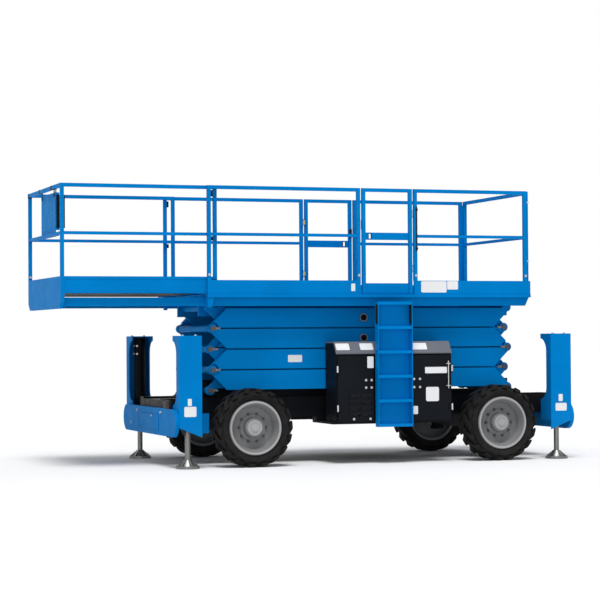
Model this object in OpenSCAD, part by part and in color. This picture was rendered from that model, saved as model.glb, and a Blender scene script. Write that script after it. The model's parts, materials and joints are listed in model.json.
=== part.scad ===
// Rough-terrain scissor lift with a slide-out deck and four outriggers, folded, on its wheels.
// X runs along the machine with the slide-out deck at -X, Y across it, Z up from the ground.

/* [Wheels] */
// Distance between the two axles
wheelbase = 2840; // [2820:5:2860]
// Diameter of a tyre over its lugs
tyre_d = 830; // [820:2:834]
// Width of a tyre
tyre_w = 300; // [290:2:304]
// Width of the machine over its tyres
machine_w = 2290; // [2286:2:2310]
// Diameter of a wheel's rim
rim_d = 576; // [560:2:590]

/* [Scissor stack] */
// Height of the lowest row of pins
first_pin_z = 800; // [798:1:804]
// Height of one level of folded arms
level_h = 222.5; // [221.5:0.5:223.5]
// Distance between the left and right pins of the folded arms
pin_span = 3450; // [3440:2:3456]
// Height of an arm's box section
arm_h = 207; // [195:1:208]
// Thickness of an arm
arm_t = 75; // [72:1:75]
// Outer face of the outer arms, from the middle of the machine
stack_half_w = 660; // [658:1:662]

/* [Platform] */
// Length of the main deck
deck_len = 3746; // [3740:2:3760]
// Width of the main deck over its toe boards
deck_w = 1830; // [1826:2:1840]
// Height of the main deck's floor
floor_z = 1830; // [1830:1:1836]
// Height of the top rail's centre line
rail_top_z = 2962; // [2930:2:2990]
// Height of the middle rail between the toe board and the top rail, in percent
rail_mid_percent = 49.5; // [48:0.5:52]
// Width of a guard rail's square tube
rail_d = 38; // [34:1:38]
// Height of the toe boards' upper edge
toe_top = 1978; // [1970:1:1984]

/* [Slide-out deck] */
// How far the slide-out deck stands out of the main deck
ext_out = 1566; // [1560:2:1570]
// Height of the slide-out deck's upper edge
ext_toe_top = 2015; // [2005:1:2020]

/* [Outriggers] */
// Distance of a jack from the axle beside it
jack_out = 710; // [706:1:720]
// Distance of a jack from the middle of the machine
jack_y = 1010; // [1000:1:1014]
// Width of a jack's housing along the machine
housing_w = 246; // [240:1:250]
// Height of a jack's housing
housing_top = 1390; // [1380:2:1400]
// Diameter of a jack's foot
foot_d = 250; // [230:2:256]

/* [Boxes and ladder] */
// Length of a component box along the machine
box_len = 480; // [470:2:486]
// Height of a component box's front
box_top = 1190; // [1180:2:1200]
// Width of the ladder
ladder_w = 400; // [390:2:404]
// Height of the ladder's top step
ladder_top = 1740; // [1730:2:1750]

/* [Hidden] */
$fn = 48;

// Paint
blue = [0.02, 0.42, 0.75];
dark = [0.08, 0.085, 0.09];
grey = [0.55, 0.57, 0.59];
steel = [0.72, 0.73, 0.74];
black = [0.03, 0.03, 0.03];

// Clearances
run = 0.05;
loose = 0.5;
gap = 5;

// Rails of the chassis
rail_y0 = 360;
rail_y1 = 500;
rail_z1 = 720;

// Wheels and axles
axle_x = wheelbase / 2;
hub_z = tyre_d / 2;
jack_x = axle_x + jack_out;
tyre_out = machine_w / 2;
tyre_mid = tyre_out - tyre_w / 2;
tyre_in = tyre_out - tyre_w;
spindle_r = 45;
kingpin_share = 270 / 345;
kingpin_y = rail_y1 + kingpin_share * (tyre_in - rail_y1);
axle_half_h = 80;
axle_top = hub_z + axle_half_h;
kingpin_r = 25;
yoke_t = 30;
yoke_z0 = hub_z - axle_half_h - 30 - yoke_t;
yoke_z1 = axle_top + 30 + yoke_t;

// Chassis
frame_end = jack_x + housing_w / 2;
beam_t = 40;
shelf_z0 = 430;
shelf_z1 = 450;
guide_y0 = 400;
guide_y1 = 440;

// Scissor stack
stack_x = -25;
half_span = pin_span / 2;
left_x = stack_x - half_span;
right_x = stack_x + half_span;
outer_y1 = stack_half_w;
outer_y0 = outer_y1 - arm_t;
inner_y1 = outer_y0 - 2 * gap;
inner_y0 = inner_y1 - arm_t;
lug_t = (arm_t - gap) / 2;
pin_r = 30;
eye_r = 48;
cross_r = 38;
slide_r = 45;
top_row_z = first_pin_z + 4 * level_h;
arm_len = sqrt(pin_span * pin_span + level_h * level_h);
rest_angle = atan2(level_h, pin_span);
top_angle = rest_angle + 58;
slide_travel = pin_span - arm_len * cos(top_angle);

// Lift cylinders: eye of the barrel and eye of the rod, on the lowest two levels
barrel_eye = [1480, first_pin_z + 150];
rod_eye = [340, first_pin_z + 180];
cyl_len = norm(rod_eye - barrel_eye);
cyl_angle = atan2(rod_eye.y - barrel_eye.y, rod_eye.x - barrel_eye.x);
barrel_r = 70;
rod_r = 45;
cyl_pin_r = 35;

// Platform
deck_half = deck_len / 2;
deck_y = deck_w / 2;
toe_t = 30;
floor_t = 18;
floor_under = floor_z - floor_t;
skirt_y1 = 870;
skirt_y0 = 830;
skirt_z0 = 1703;
member_y = 720;
rail_y = deck_y - rail_d / 2;
rail_mid_z = toe_top + (rail_top_z - toe_top) * rail_mid_percent / 100;
mid_rail_r = rail_d / 2 - 3;
member_w = 60;
member_h = 67;
member_in = 220;
tread_t = 3;
tread_y = 735;

// Slide-out deck
ext_end = -deck_half - ext_out;
ext_rear = -deck_half + 118;
ext_y1 = deck_y - rail_d - 10;
ext_rail_y = ext_y1 - rail_d / 2;
ext_beam_y0 = 740;
ext_beam_y1 = 800;
ext_beam_rear = -deck_half + 433;
ext_beam_z0 = 1705;
ext_beam_z1 = 1795;

// Gates: edges of the gap in the side rails
gate_near_x = [-148, 478];
gate_far_x = [-190, 437];

// Boxes and ladder, placed in the length that is free between the tyres
box_y0 = outer_y1 + 30;
box_y1 = box_y0 + 340;
box_back_top = box_top + 110;
slope_d = 75;
wall = 15;
door_y0 = box_y1 + gap + 1;
door_y1 = door_y0 + 20;
box_gap = ladder_w - 24;
left_share = 525 / 674;
free_len = wheelbase - tyre_d - 2 * box_len - box_gap;
left_box_x0 = tyre_d / 2 - axle_x + left_share * free_len;
left_box_x = [left_box_x0, left_box_x0 + box_len];
right_box_x = [left_box_x[1] + box_gap, left_box_x[1] + box_gap + box_len];
ladder_x0 = left_box_x[1] - 40;
ladder_x1 = ladder_x0 + ladder_w;
ladder_d = 95;
ladder_y0 = box_y1 + 20;
ladder_y1 = ladder_y0 + ladder_d;
engine_gap = 60;
engine_top = box_top - 130;

// The middle of the whole machine, where its origin is
x_high = frame_end + beam_t;
origin_x = (ext_end + x_high) / 2;

// Simple forms

// Box between two corners
module box(lo, hi) {
    translate(lo) cube(hi - lo);
}

// Outline in X and Z, as thick as from y0 to y1
module slab_y(y0, y1) {
    translate([0, y1, 0]) rotate([90, 0, 0]) linear_extrude(y1 - y0) children();
}

// Outline in Y and Z, as thick as from x0 to x1
module slab_x(x0, x1) {
    translate([x0, 0, 0]) rotate([90, 0, 90]) linear_extrude(x1 - x0) children();
}

// Round bars along X, Y and Z, each at the two other coordinates
module bar_x(y, z, r, x0, x1) {
    translate([x0, y, z]) rotate([0, 90, 0]) cylinder(r = r, h = x1 - x0);
}

module bar_y(x, z, r, y0, y1) {
    translate([x, y0, z]) rotate([-90, 0, 0]) cylinder(r = r, h = y1 - y0);
}

module bar_z(x, y, r, z0, z1) {
    translate([x, y, z0]) cylinder(r = r, h = z1 - z0);
}

// A shape and its mirror image on the other side of the machine
module both_sides() {
    children();
    mirror([0, 1, 0]) children();
}

// A shape drawn for +Y, moved to the near side (-1) or the far side (1)
module on_side(side) {
    if (side > 0) children();
    else mirror([0, 1, 0]) children();
}

module on_end(end) {
    if (end > 0) children();
    else mirror([1, 0, 0]) children();
}

// Frame of square tube like an upside-down U, from u0 to u1, standing on v0 with its top at v1
module hoop(u0, u1, v0, v1, r) {
    for (u = [u0, u1]) box([u - r, -r, v0], [u + r, r, v1 + r]);
    box([u0 - r, -r, v1 - r], [u1 + r, r, v1 + r]);
}

// Chassis

module chassis_frame() {
    color(dark) {
        both_sides() {
            box([-frame_end, rail_y0, axle_top], [frame_end, rail_y1, rail_z1]);
            chassis_guide();
            chassis_shelf();
        }
        box([-frame_end, -rail_y0 - 1, axle_top + 60], [frame_end, rail_y0 + 1, rail_z1 - 20]);
    }
}

// Upright plate with the fixed arms' bearing on the left and the slide's slot on the right
module guide_outline(z0, z1, row_z) {
    difference() {
        translate([left_x - 90, z0]) square([pin_span + 190, z1 - z0]);
        translate([left_x, row_z]) circle(cross_r + run);
        translate([right_x - slide_travel - 60, row_z - slide_r - 1])
            square([slide_travel + 120, 2 * slide_r + 2]);
    }
}

module chassis_guide() {
    slab_y(guide_y0, guide_y1) guide_outline(rail_z1 - 10, first_pin_z + 90, first_pin_z);
}

// Shelf under the boxes, with the panel behind the ladder
module chassis_shelf() {
    box([left_box_x[0] - 40, rail_y0, shelf_z0], [right_box_x[1], box_y1, shelf_z1]);
    box([left_box_x[0] - 40, rail_y0, shelf_z1 - 1], [right_box_x[1], rail_y1, axle_top + 1]);
    box([left_box_x[1] + 1, box_y1 - 60, shelf_z1 - 1], [right_box_x[0] - 1, ladder_y0, box_top - 20]);
}

tie_x = jack_x - 230;
tie_t = 25;
tie_w = 100;
tie_h = 120;
tie_z = axle_top + 25;
tie_hole_r = 20;
tie_hole_out = 55;

module tie_down_lugs() {
    color(dark) for (end = [-1, 1]) on_end(end) both_sides()
        slab_x(tie_x, tie_x + tie_t) difference() {
            translate([rail_y1, tie_z]) square([tie_w, tie_h]);
            translate([rail_y1 + tie_hole_out, tie_z + tie_h / 2]) circle(tie_hole_r);
        }
}

// Axles, knuckles and wheels

axle_half_w = 80;
hub_arm_r = 75;
hub_arm_in = 40;
knuckle_r = 48;
yoke_half_w = 60;
yoke_reach = 100;
yoke_wall = 45;

module axle_fixed() {
    color(dark) translate([-axle_x, 0, 0]) {
        box([-axle_half_w, -kingpin_y, hub_z - axle_half_h], [axle_half_w, kingpin_y, axle_top]);
        bar_y(0, hub_z, spindle_r, -tyre_mid - 20, tyre_mid + 20);
        both_sides() bar_y(0, hub_z, hub_arm_r, kingpin_y - 10, tyre_in + hub_arm_in);
    }
}

module axle_steer() {
    color(dark) translate([axle_x, 0, 0]) {
        box([-axle_half_w, -kingpin_y + yoke_reach - 10, hub_z - axle_half_h],
            [axle_half_w, kingpin_y - yoke_reach + 10, axle_top]);
        both_sides() {
            for (z = [yoke_z0, yoke_z1 - yoke_t]) difference() {
                union() {
                    box([-yoke_half_w, kingpin_y - yoke_reach, z], [yoke_half_w, kingpin_y, z + yoke_t]);
                    bar_z(0, kingpin_y, yoke_half_w, z, z + yoke_t);
                }
                bar_z(0, kingpin_y, kingpin_r + run, z - 1, z + yoke_t + 1);
            }
            box([-yoke_half_w, kingpin_y - yoke_reach, yoke_z0],
                [yoke_half_w, kingpin_y - yoke_reach + yoke_wall, yoke_z1]);
        }
    }
}

module knuckle(side) {
    color(dark) translate([axle_x, 0, 0]) on_side(side) {
        bar_z(0, kingpin_y, kingpin_r, yoke_z0, yoke_z1);
        bar_z(0, kingpin_y, knuckle_r, yoke_z0 + yoke_t + loose, yoke_z1 - yoke_t - loose);
        bar_y(0, hub_z, spindle_r, kingpin_y, tyre_mid + 20);
        bar_y(0, hub_z, hub_arm_r, kingpin_y, tyre_in + hub_arm_in);
    }
}

module knuckle_near() knuckle(-1);
module knuckle_far() knuckle(1);

// A turned shape about a wheel's axle; its outline is radius by distance out from the wheel's middle
module turned_wheel(end, side) {
    translate([end * axle_x, 0, hub_z]) on_side(side) translate([0, tyre_mid, 0])
        rotate([-90, 0, 0]) rotate_extrude($fn = 64) children();
}

lug_count = 18;
lug_bar_w = 52;
lug_angle = 36;
lug_h = 24;

// Turned outlines of a tyre: over its lugs, and of the body between them
module tyre_over(r0, r1, w) {
    polygon([[r0, -w + 25], [r0 + 25, -w + 8], [r0 + 60, -w], [r1 - 36, -w], [r1 - 9, -w + 8], [r1, -w + 26],
             [r1, w - 26], [r1 - 9, w - 8], [r1 - 36, w], [r0 + 60, w], [r0 + 25, w - 8], [r0, w - 25]]);
}

module tyre_body(r0, r1, w) {
    polygon([[r0, -w + 25], [r0 + 25, -w + 8], [r0 + 60, -w], [r1 - 56, -w + 6], [r1 - lug_h, -w + 44],
             [r1 - lug_h, w - 44], [r1 - 56, w - 6], [r0 + 60, w], [r0 + 25, w - 8], [r0, w - 25]]);
}

// One slanted lug on one half of the tread, about the wheel's axle
module tyre_lug(r1, w, half, turn) {
    rotate([0, 0, turn]) mirror([0, 0, half > 0 ? 0 : 1]) rotate([lug_angle, 0, 0])
        translate([r1 - 52, -lug_bar_w / 2, -20]) cube([70, lug_bar_w, w / cos(lug_angle) + 60]);
}

module tyre(end, side) {
    r0 = rim_d / 2 + 0.2;
    r1 = tyre_d / 2;
    w = tyre_w / 2;
    pitch = 360 / lug_count;
    color(black) translate([end * axle_x, 0, hub_z]) on_side(side) translate([0, tyre_mid, 0])
        rotate([-90, 0, 0]) {
            rotate_extrude($fn = 64) tyre_body(r0, r1, w);
            intersection() {
                rotate_extrude($fn = 64) tyre_over(r0, r1, w);
                union() for (k = [0 : lug_count - 1], half = [0, 1])
                    tyre_lug(r1, w, half, (k + half / 2) * pitch);
            }
        }
}

module rim(end, side) {
    r = rim_d / 2;
    w = tyre_w / 2 - 22;
    disc = 20;
    color(grey) turned_wheel(end, side)
        polygon([[spindle_r + run, -60], [105, -60], [105, disc - 20], [r - 60, disc - 20],
                 [r - 30, disc - 50], [r - 30, -w], [r, -w], [r, w], [r - 8, w + 14],
                 [r - 22, w + 14], [r - 30, w], [r - 58, 60],
                 [r - 70, disc], [150, disc], [140, disc + 12], [105, disc + 12], [98, disc + 70],
                 [60, disc + 80], [60, disc + 30], [spindle_r + run, disc + 30]]);
}

module tyre_fixed_near() tyre(-1, -1);
module tyre_fixed_far() tyre(-1, 1);
module tyre_steer_near() tyre(1, -1);
module tyre_steer_far() tyre(1, 1);
module rim_fixed_near() rim(-1, -1);
module rim_fixed_far() rim(-1, 1);
module rim_steer_near() rim(1, -1);
module rim_steer_far() rim(1, 1);

// Outriggers

housing_t = 12;
housing_y1 = jack_y + 130;
housing_y0 = housing_y1 - 260;
housing_z0 = 330;
jack_barrel_r = 62;
jack_barrel_z0 = 440;
jack_rod_r = 29;
foot_h = 90;
foot_ribs = 8;
beam_z0 = 330;
beam_z1 = 620;
guard_y = housing_y0 + 10;
hollow_deep = 140;
hollow_z0 = beam_z1 + 180;
hollow_z1 = housing_top - 195;
leg_up = 3;
leg_top = housing_top - 387;

module outrigger_frame(end) {
    x0 = jack_x - housing_w / 2;
    x1 = jack_x + housing_w / 2;
    color(blue) on_end(end) {
        both_sides() {
            for (x = [x0, x1 - housing_t]) slab_x(x, x + housing_t) housing_side();
            slab_y(housing_y1 - housing_t, housing_y1)
                polygon([[x0, housing_z0], [x1, housing_z0 + 100], [x1, housing_top], [x0, housing_top]]);
            box([x0, housing_y0, housing_top - housing_t], [x1, housing_y1, housing_top]);
        }
        slab_x(x1, x1 + beam_t) beam_outline();
        if (end < 0) both_sides() box([axle_x + tyre_d / 2 + 30, guard_y, beam_z0 + 30],
                                      [x0 + 1, guard_y + housing_t, beam_z1 - 50]);
    }
}

// Side plate of a housing: deep at its top and foot, hollowed between with round ends
module housing_side() {
    y = housing_y0 + 1;
    difference() {
        translate([housing_y0, housing_z0 + 100])
            square([housing_y1 - housing_y0, housing_top - housing_z0 - 100]);
        translate([y - 50, hollow_z0]) square([50 + hollow_deep, hollow_z1 - hollow_z0]);
        for (z = [hollow_z0, hollow_z1]) translate([y, z]) circle(hollow_deep);
    }
}

// End beam with round ends
module beam_outline() {
    r = (beam_z1 - beam_z0) / 2;
    y = housing_y1 - r - 10;
    translate([-y, beam_z0]) square([2 * y, 2 * r]);
    for (s = [-1, 1]) translate([s * y, beam_z0 + r]) circle(r);
}

module outrigger_frame_left() outrigger_frame(-1);
module outrigger_frame_right() outrigger_frame(1);

module jack_barrels() {
    color(black) for (end = [-1, 1]) on_end(end) both_sides() difference() {
        bar_z(jack_x, jack_y, jack_barrel_r, jack_barrel_z0, housing_top - housing_t);
        bar_z(jack_x, jack_y, jack_rod_r + loose, jack_barrel_z0 - 1, housing_top - 130);
    }
}

module leg(end, side) {
    color(steel) on_end(end) on_side(side) translate([jack_x, jack_y, leg_up]) {
        cylinder(d = foot_d, h = 25);
        translate([0, 0, 25 - 1]) cylinder(d1 = foot_d - 70, d2 = 84, h = foot_h - 24);
        for (k = [0 : foot_ribs - 1]) rotate([0, 0, k * 360 / foot_ribs]) slab_y(-5, 5)
            polygon([[20, 20], [foot_d / 2 - 12, 20], [foot_d / 2 - 12, 32],
                     [42, foot_h - 6], [20, foot_h - 6]]);
        cylinder(r = jack_rod_r, h = leg_top - leg_up);
    }
}

module leg_left_near() leg(-1, -1);
module leg_left_far() leg(-1, 1);
module leg_right_near() leg(1, -1);
module leg_right_far() leg(1, 1);

// Component boxes, doors and ladders

// Cross-section of a box in Y and Z, with its top and sloped front edge raised by lift
module box_section(y0, y1, z0, lift) {
    slope = (box_back_top - box_top) / slope_d;
    polygon([[y0, z0], [y1, z0], [y1, box_top - (y1 - box_y1) * slope + lift],
             [box_y1 - slope_d, box_back_top + lift], [y0, box_back_top + lift]]);
}

hinge_pin_r = 5;
hinge_len = 80;
hinge_zs = [560, 980];
hinge_out = 6;
door_hinge_y = door_y1 + hinge_out;

// Hinge pins on a box's corner; at is the corner's X and out the way it faces along X
module door_pins(at, out) {
    for (z = hinge_zs) {
        bar_z(at - out * 4, door_hinge_y, hinge_pin_r, z - 10, z + hinge_len + 10);
        for (dz = [-10, hinge_len]) translate([at, 0, z + dz]) mirror([out > 0 ? 1 : 0, 0, 0])
            box([-6, box_y1 - 30, 0], [9, door_hinge_y + 7, 10]);
    }
}

// Hollow box, open at its front and top
module box_shell(xs, hinge_at, out) {
    difference() {
        slab_x(xs[0], xs[1]) box_section(box_y0, box_y1, shelf_z1, 0);
        slab_x(xs[0] + wall, xs[1] - wall) box_section(box_y0 + wall, box_y1 + 1, shelf_z1 + wall, 50);
    }
    door_pins(hinge_at, out);
}

module box_shells(side) {
    color(dark) on_side(side) {
        box_shell(left_box_x, left_box_x[0], -1);
        box_shell(right_box_x, right_box_x[1], 1);
    }
}

module box_shells_near() box_shells(-1);
module box_shells_far() box_shells(1);

module box_tops() {
    color(grey) both_sides() for (xs = [left_box_x, right_box_x])
        slab_x(xs[0] - 4, xs[1] + 4) difference() {
            box_section(box_y0 - 4, box_y1 + 6, shelf_z1, wall);
            box_section(box_y0 - 5, box_y1 + 7, shelf_z1 - 1, 2 * run);
        }
}

// Front door of a box, from x0 to x1, with its hinge at x0
module door_panel(x0, x1) {
    box([x0, door_y0, shelf_z1 + 6], [x1, door_y1, box_top - 22]);
    for (z = hinge_zs) difference() {
        union() {
            bar_z(x0 - hinge_out, door_hinge_y, 10, z + 2, z + hinge_len - 2);
            box([x0 - hinge_out, door_y1 - 2, z + 2], [x0 + 30, door_y1 + 8, z + hinge_len - 2]);
        }
        bar_z(x0 - hinge_out, door_hinge_y, hinge_pin_r + run, z, z + hinge_len);
    }
}

louvre_rows = 4;
louvre_z0 = 515;
louvre_pitch = 66;
louvre_h = 26;
louvre_w = 124;

// Louvres of a door: slots under sloped hoods, in two columns that end at x
module louvres(x) {
    for (row = [0 : louvre_rows - 1], col = [0, 1])
        translate([x - (col + 1) * (louvre_w + 14), 0, louvre_z0 + row * louvre_pitch]) children();
}

module louvre_slot() box([6, door_y0 - 1, 0], [louvre_w - 6, door_y1 + 1, louvre_h]);

module louvre_hood() {
    slab_x(0, louvre_w)
        polygon([[door_y1 - 2, louvre_h - 6], [door_y1 + 10, louvre_h - 12], [door_y1 + 10, louvre_h - 8],
                 [door_y1, louvre_h + 16], [door_y1 - 2, louvre_h + 16]]);
}

door_left_x = [left_box_x[0] + 10, ladder_x0 - 16];
door_right_x = [ladder_x1 + 26, right_box_x[1] - 10];

module door_left(side) {
    color(dark) on_side(side) {
        difference() {
            door_panel(door_left_x[0], door_left_x[1]);
            louvres(door_left_x[1] - 6) louvre_slot();
        }
        louvres(door_left_x[1] - 6) louvre_hood();
    }
}

module door_right(side) {
    color(dark) on_side(side) mirror([1, 0, 0]) door_panel(-door_right_x[1], -door_right_x[0]);
}

module door_left_near() door_left(-1);
module door_left_far() door_left(1);
module door_right_near() door_right(-1);
module door_right_far() door_right(1);

module engine_block() {
    color(grey) on_side(-1)
        box([left_box_x[0] + engine_gap, box_y0 + 40, shelf_z1 + wall],
            [left_box_x[1] - engine_gap, box_y1 - 40, engine_top]);
}

step_t = 28;
step_count = 6;
step_first = 425;

// Side of the ladder, with an oval hand hold between its top two steps
module ladder_cheek() {
    r = 17;
    y = ladder_y1 - 38;
    difference() {
        translate([ladder_y0, step_first - step_t]) square([ladder_d, ladder_top - step_first + step_t]);
        translate([y - r, ladder_top - 205]) square([2 * r, 150]);
        for (z = [ladder_top - 205, ladder_top - 55]) translate([y, z]) circle(r);
    }
}

module ladder(side) {
    color(blue) on_side(side) {
        for (x = [ladder_x0, ladder_x1 - 8]) slab_x(x, x + 8) ladder_cheek();
        box([ladder_x0, ladder_y0, step_first - step_t], [ladder_x1, ladder_y0 + 6, ladder_top]);
        for (k = [0 : step_count - 1]) {
            z = step_first + k * (ladder_top - step_first) / (step_count - 1);
            box([ladder_x0 + 1, ladder_y0 + 1, z - step_t], [ladder_x1 - 1, ladder_y1, z]);
        }
    }
}

module ladder_near() ladder(-1);
module ladder_far() ladder(1);

// Scissor arms

function row_z(row) = first_pin_z + row * level_h;
// An inner arm of level 0 rises to the right; the lean alternates by level and between inner and outer
function lean(level, outer) = (level % 2 == 0 ? 1 : -1) * (outer ? -1 : 1);

// Outline of an arm that rises to the right, about its middle; one that is raised by up is shorter by as much
module arm_tube(up) {
    a = arm_h / 2;
    x0 = half_span - 60 - up;
    x1 = x0 - arm_h;
    translate([0, up]) polygon([[-x0, -a], [x1, -a], [x0, a], [-x1, a]]);
}

// End plate about the lower pin, reaching up and right into a tube that is raised by up
module arm_lug(up) {
    w = 28;
    edge = (level_h - arm_h) / 2 + 5 + up;
    top = (level_h + arm_h) / 2 + up;
    circle(eye_r);
    polygon([[w, -w], [edge + 2 * w, edge], [320, edge], [320, top], [top - 2 * w, top], [-w, w]]);
}

// Inner arms sit a little higher than outer arms, so that their tubes close the view between the levels
inner_up = 16;

// One arm of a level, on the far side
module arm(level, outer) {
    y0 = outer ? outer_y0 : inner_y0;
    y1 = outer ? outer_y1 : inner_y1;
    up = outer ? 0 : inner_up;
    bore = pin_r + (outer ? loose : run);
    lower_y1 = level == 0 ? y1 : y0 + lug_t;
    upper_y0 = level == 3 ? y0 : y1 - lug_t;
    translate([stack_x, 0, row_z(level) + level_h / 2]) on_end(lean(level, outer)) difference() {
        union() {
            slab_y(y0, y1) arm_tube(up);
            slab_y(y0, lower_y1) translate([-half_span, -level_h / 2]) arm_lug(up);
            slab_y(upper_y0, y1) translate([half_span, level_h / 2]) rotate(180) arm_lug(-up);
            if (outer) bar_y(0, 0, 55, y1 - 1, y1 + 8);
            if (outer && level > 0)
                slab_y(lower_y1 - 1, y1) translate([-half_span, -level_h / 2]) lug_cover();
        }
        if (level < 3) bar_y(half_span, level_h / 2, bore, y0 - 1, y1 + 1);
        if (outer) bar_y(0, 0, pin_r + run, y0 - 1, y1 + 10);
    }
}

// Rest of an end plate's full thickness, clear of the neighbour's eye
module lug_cover() {
    difference() {
        arm_lug(0);
        circle(eye_r + 4 * gap);
    }
}

module inner_arms(level) {
    s = lean(level, false);
    x = stack_x - s * half_span;
    z = row_z(level);
    color(blue) {
        both_sides() {
            arm(level, false);
            bar_y(stack_x, z + level_h / 2, pin_r, inner_y1 - 1, outer_y1 + 6);
            if (level > 0) bar_y(x, z, pin_r, inner_y0, inner_y1 + 2);
            if (level % 2 == 1) rod_stub(level - 1);
        }
        bar_y(x, z, cross_r, -inner_y0 - 2, inner_y0 + 2);
        if (level == 3) bar_y(stack_x + s * half_span, top_row_z, cross_r, -inner_y0 - 2, inner_y0 + 2);
        if (level % 2 == 0) barrel_shaft(level);
    }
}

// Shaft through the eye of a lift cylinder's barrel
module barrel_shaft(level) {
    z = barrel_eye.y + level * level_h;
    bar_y(barrel_eye.x, z, cyl_pin_r, -inner_y0 - 2, inner_y0 + 2);
    both_sides() bar_y(barrel_eye.x, z, cyl_pin_r + 12, barrel_r + gap, barrel_r + gap + 26);
}

// Stub on each side of a lift cylinder's rod eye, on a plate that hangs from the arm
module rod_stub(level) {
    z = rod_eye.y + level * level_h;
    y1 = inner_y0 - gap - 1;
    bar_y(rod_eye.x, z, cyl_pin_r, 48, y1 - 1);
    box([rod_eye.x - 60, y1 - 40, z - 50], [rod_eye.x + 60, y1, z + 190]);
    box([rod_eye.x - 60, y1 - 1, z + 90], [rod_eye.x + 60, inner_y0 + 2, z + 190]);
}

module outer_arms(level) {
    s = lean(level, true);
    x = stack_x - s * half_span;
    z = row_z(level);
    color(blue) {
        both_sides() {
            arm(level, true);
            bar_y(x, z, pin_r, outer_y0, outer_y1 + 12);
            bar_y(x, z, pin_r + 14, outer_y1 + (level == 0 ? -1 : 2), outer_y1 + 12);
            if (level == 0) slide_collar(x, z);
            if (level == 3) slide_collar(stack_x + s * half_span, top_row_z);
        }
        bar_y(x, z, cross_r, -outer_y0 - 2, outer_y0 + 2);
        if (level == 3) bar_y(stack_x + s * half_span, top_row_z, cross_r, -outer_y0 - 2, outer_y0 + 2);
    }
}

// Collar that runs in a guide's slot
module slide_collar(x, z) {
    bar_y(x, z, slide_r, guide_y0 - 15, guide_y1 + 15);
}

module inner_arms_1() inner_arms(0);
module inner_arms_2() inner_arms(1);
module inner_arms_3() inner_arms(2);
module inner_arms_4() inner_arms(3);
module outer_arms_1() outer_arms(0);
module outer_arms_2() outer_arms(1);
module outer_arms_3() outer_arms(2);
module outer_arms_4() outer_arms(3);

// Lift cylinders

// Places a cylinder drawn along +X from its barrel's eye
module at_cylinder(level) {
    translate([barrel_eye.x, 0, barrel_eye.y + level * level_h]) rotate([0, -cyl_angle, 0]) children();
}

barrel_end = cyl_len - 180;

module lift_barrel(level) {
    color(black) at_cylinder(level) difference() {
        union() {
            bar_x(0, 0, barrel_r, 0, barrel_end);
            bar_x(0, 0, barrel_r + 6, barrel_end - 50, barrel_end);
            bar_y(0, 0, barrel_r, -60, 60);
        }
        bar_y(0, 0, cyl_pin_r + run, -100, 100);
        bar_x(0, 0, rod_r + loose, 200, barrel_end + 1);
    }
}

module lift_rod(level) {
    color(steel) at_cylinder(level) {
        bar_x(0, 0, rod_r, 220, cyl_len);
        translate([cyl_len, 0, 0]) bar_y(0, 0, 58, -42, 42);
    }
}

module lift_barrel_lower() lift_barrel(0);
module lift_barrel_upper() lift_barrel(2);
module lift_rod_lower() lift_rod(0);
module lift_rod_upper() lift_rod(2);

// Platform

module platform_deck() {
    color(blue) {
        box([-deck_half, -deck_y + toe_t - 5, floor_under], [deck_half, deck_y - toe_t + 5, floor_z]);
        box([ext_rear + 15, -tread_y, floor_z - 1], [deck_half - toe_t - 10, tread_y, floor_z + tread_t]);
        both_sides() {
            slab_y(guide_y0, guide_y1) guide_outline(top_row_z - 90, floor_under + 1, top_row_z);
            deck_skirt();
            roller_bracket();
            box([-deck_half, ext_beam_y1 + loose, ext_beam_z0 + 15],
                [-deck_half + 100, skirt_y0 + 1, ext_beam_z1 - 10]);
        }
        for (k = [0 : 3]) {
            x = -deck_half + member_in + k * (deck_len - 2 * member_in - member_w) / 3;
            box([x, -member_y, floor_under - member_h], [x + member_w, member_y, floor_under + 1]);
        }
        on_side(-1) deck_toe(gate_near_x);
        on_side(1) deck_toe(gate_far_x);
        box([deck_half - toe_t, -deck_y + 1, floor_under - 17], [deck_half, deck_y - 1, toe_top]);
    }
}

// Bracket at the deck's left end that carries the slide-out deck's roller
module roller_bracket() {
    z = floor_under - 17;
    slab_y(deck_y - 14, deck_y - 4)
        polygon([[-deck_half, z - 110], [-deck_half + 42, z - 110],
                 [-deck_half + 76, z + 1], [-deck_half, z + 1]]);
    bar_y(-deck_half + 21, z - 88, 18, deck_y - 40, deck_y + 2);
}

// Lower beam, set back under the deck's edge, with its right end cut at a slant
module deck_skirt() {
    slab_y(skirt_y0, skirt_y1)
        polygon([[-deck_half, skirt_z0], [deck_half - 45, skirt_z0], [deck_half, floor_under - 17],
                 [deck_half, floor_under + 1], [-deck_half, floor_under + 1]]);
}

// Toe board of one side, open at the gate
module deck_toe(gate_x) {
    lip = 8;
    for (xs = [[-deck_half, gate_x[0]], [gate_x[1], deck_half]])
        box([xs[0], deck_y - toe_t, floor_under - 17], [xs[1], deck_y, toe_top]);
    box([-deck_half, deck_y - toe_t, floor_under - 17], [deck_half, deck_y + lip, floor_z - 2]);
}

post_end_x = deck_half - 58;
end_rail_x = deck_half - rail_d / 2;
gate_pin_zs = [toe_top + 102, rail_top_z - 282];
gate_pin_len = 60;
gate_pin_r = 5;
gate_knuckle_r = 9;
gate_gap = 22;
gate_hinge_y = rail_y - rail_d / 2 - 8;

// One framed length of side rail
module side_rail(x0, x1) {
    r = rail_d / 2;
    translate([0, rail_y, 0]) hoop(x0, x1, toe_top, rail_top_z, r);
    box([x0, rail_y - mid_rail_r, rail_mid_z - mid_rail_r],
        [x1, rail_y + mid_rail_r, rail_mid_z + mid_rail_r]);
}

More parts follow.
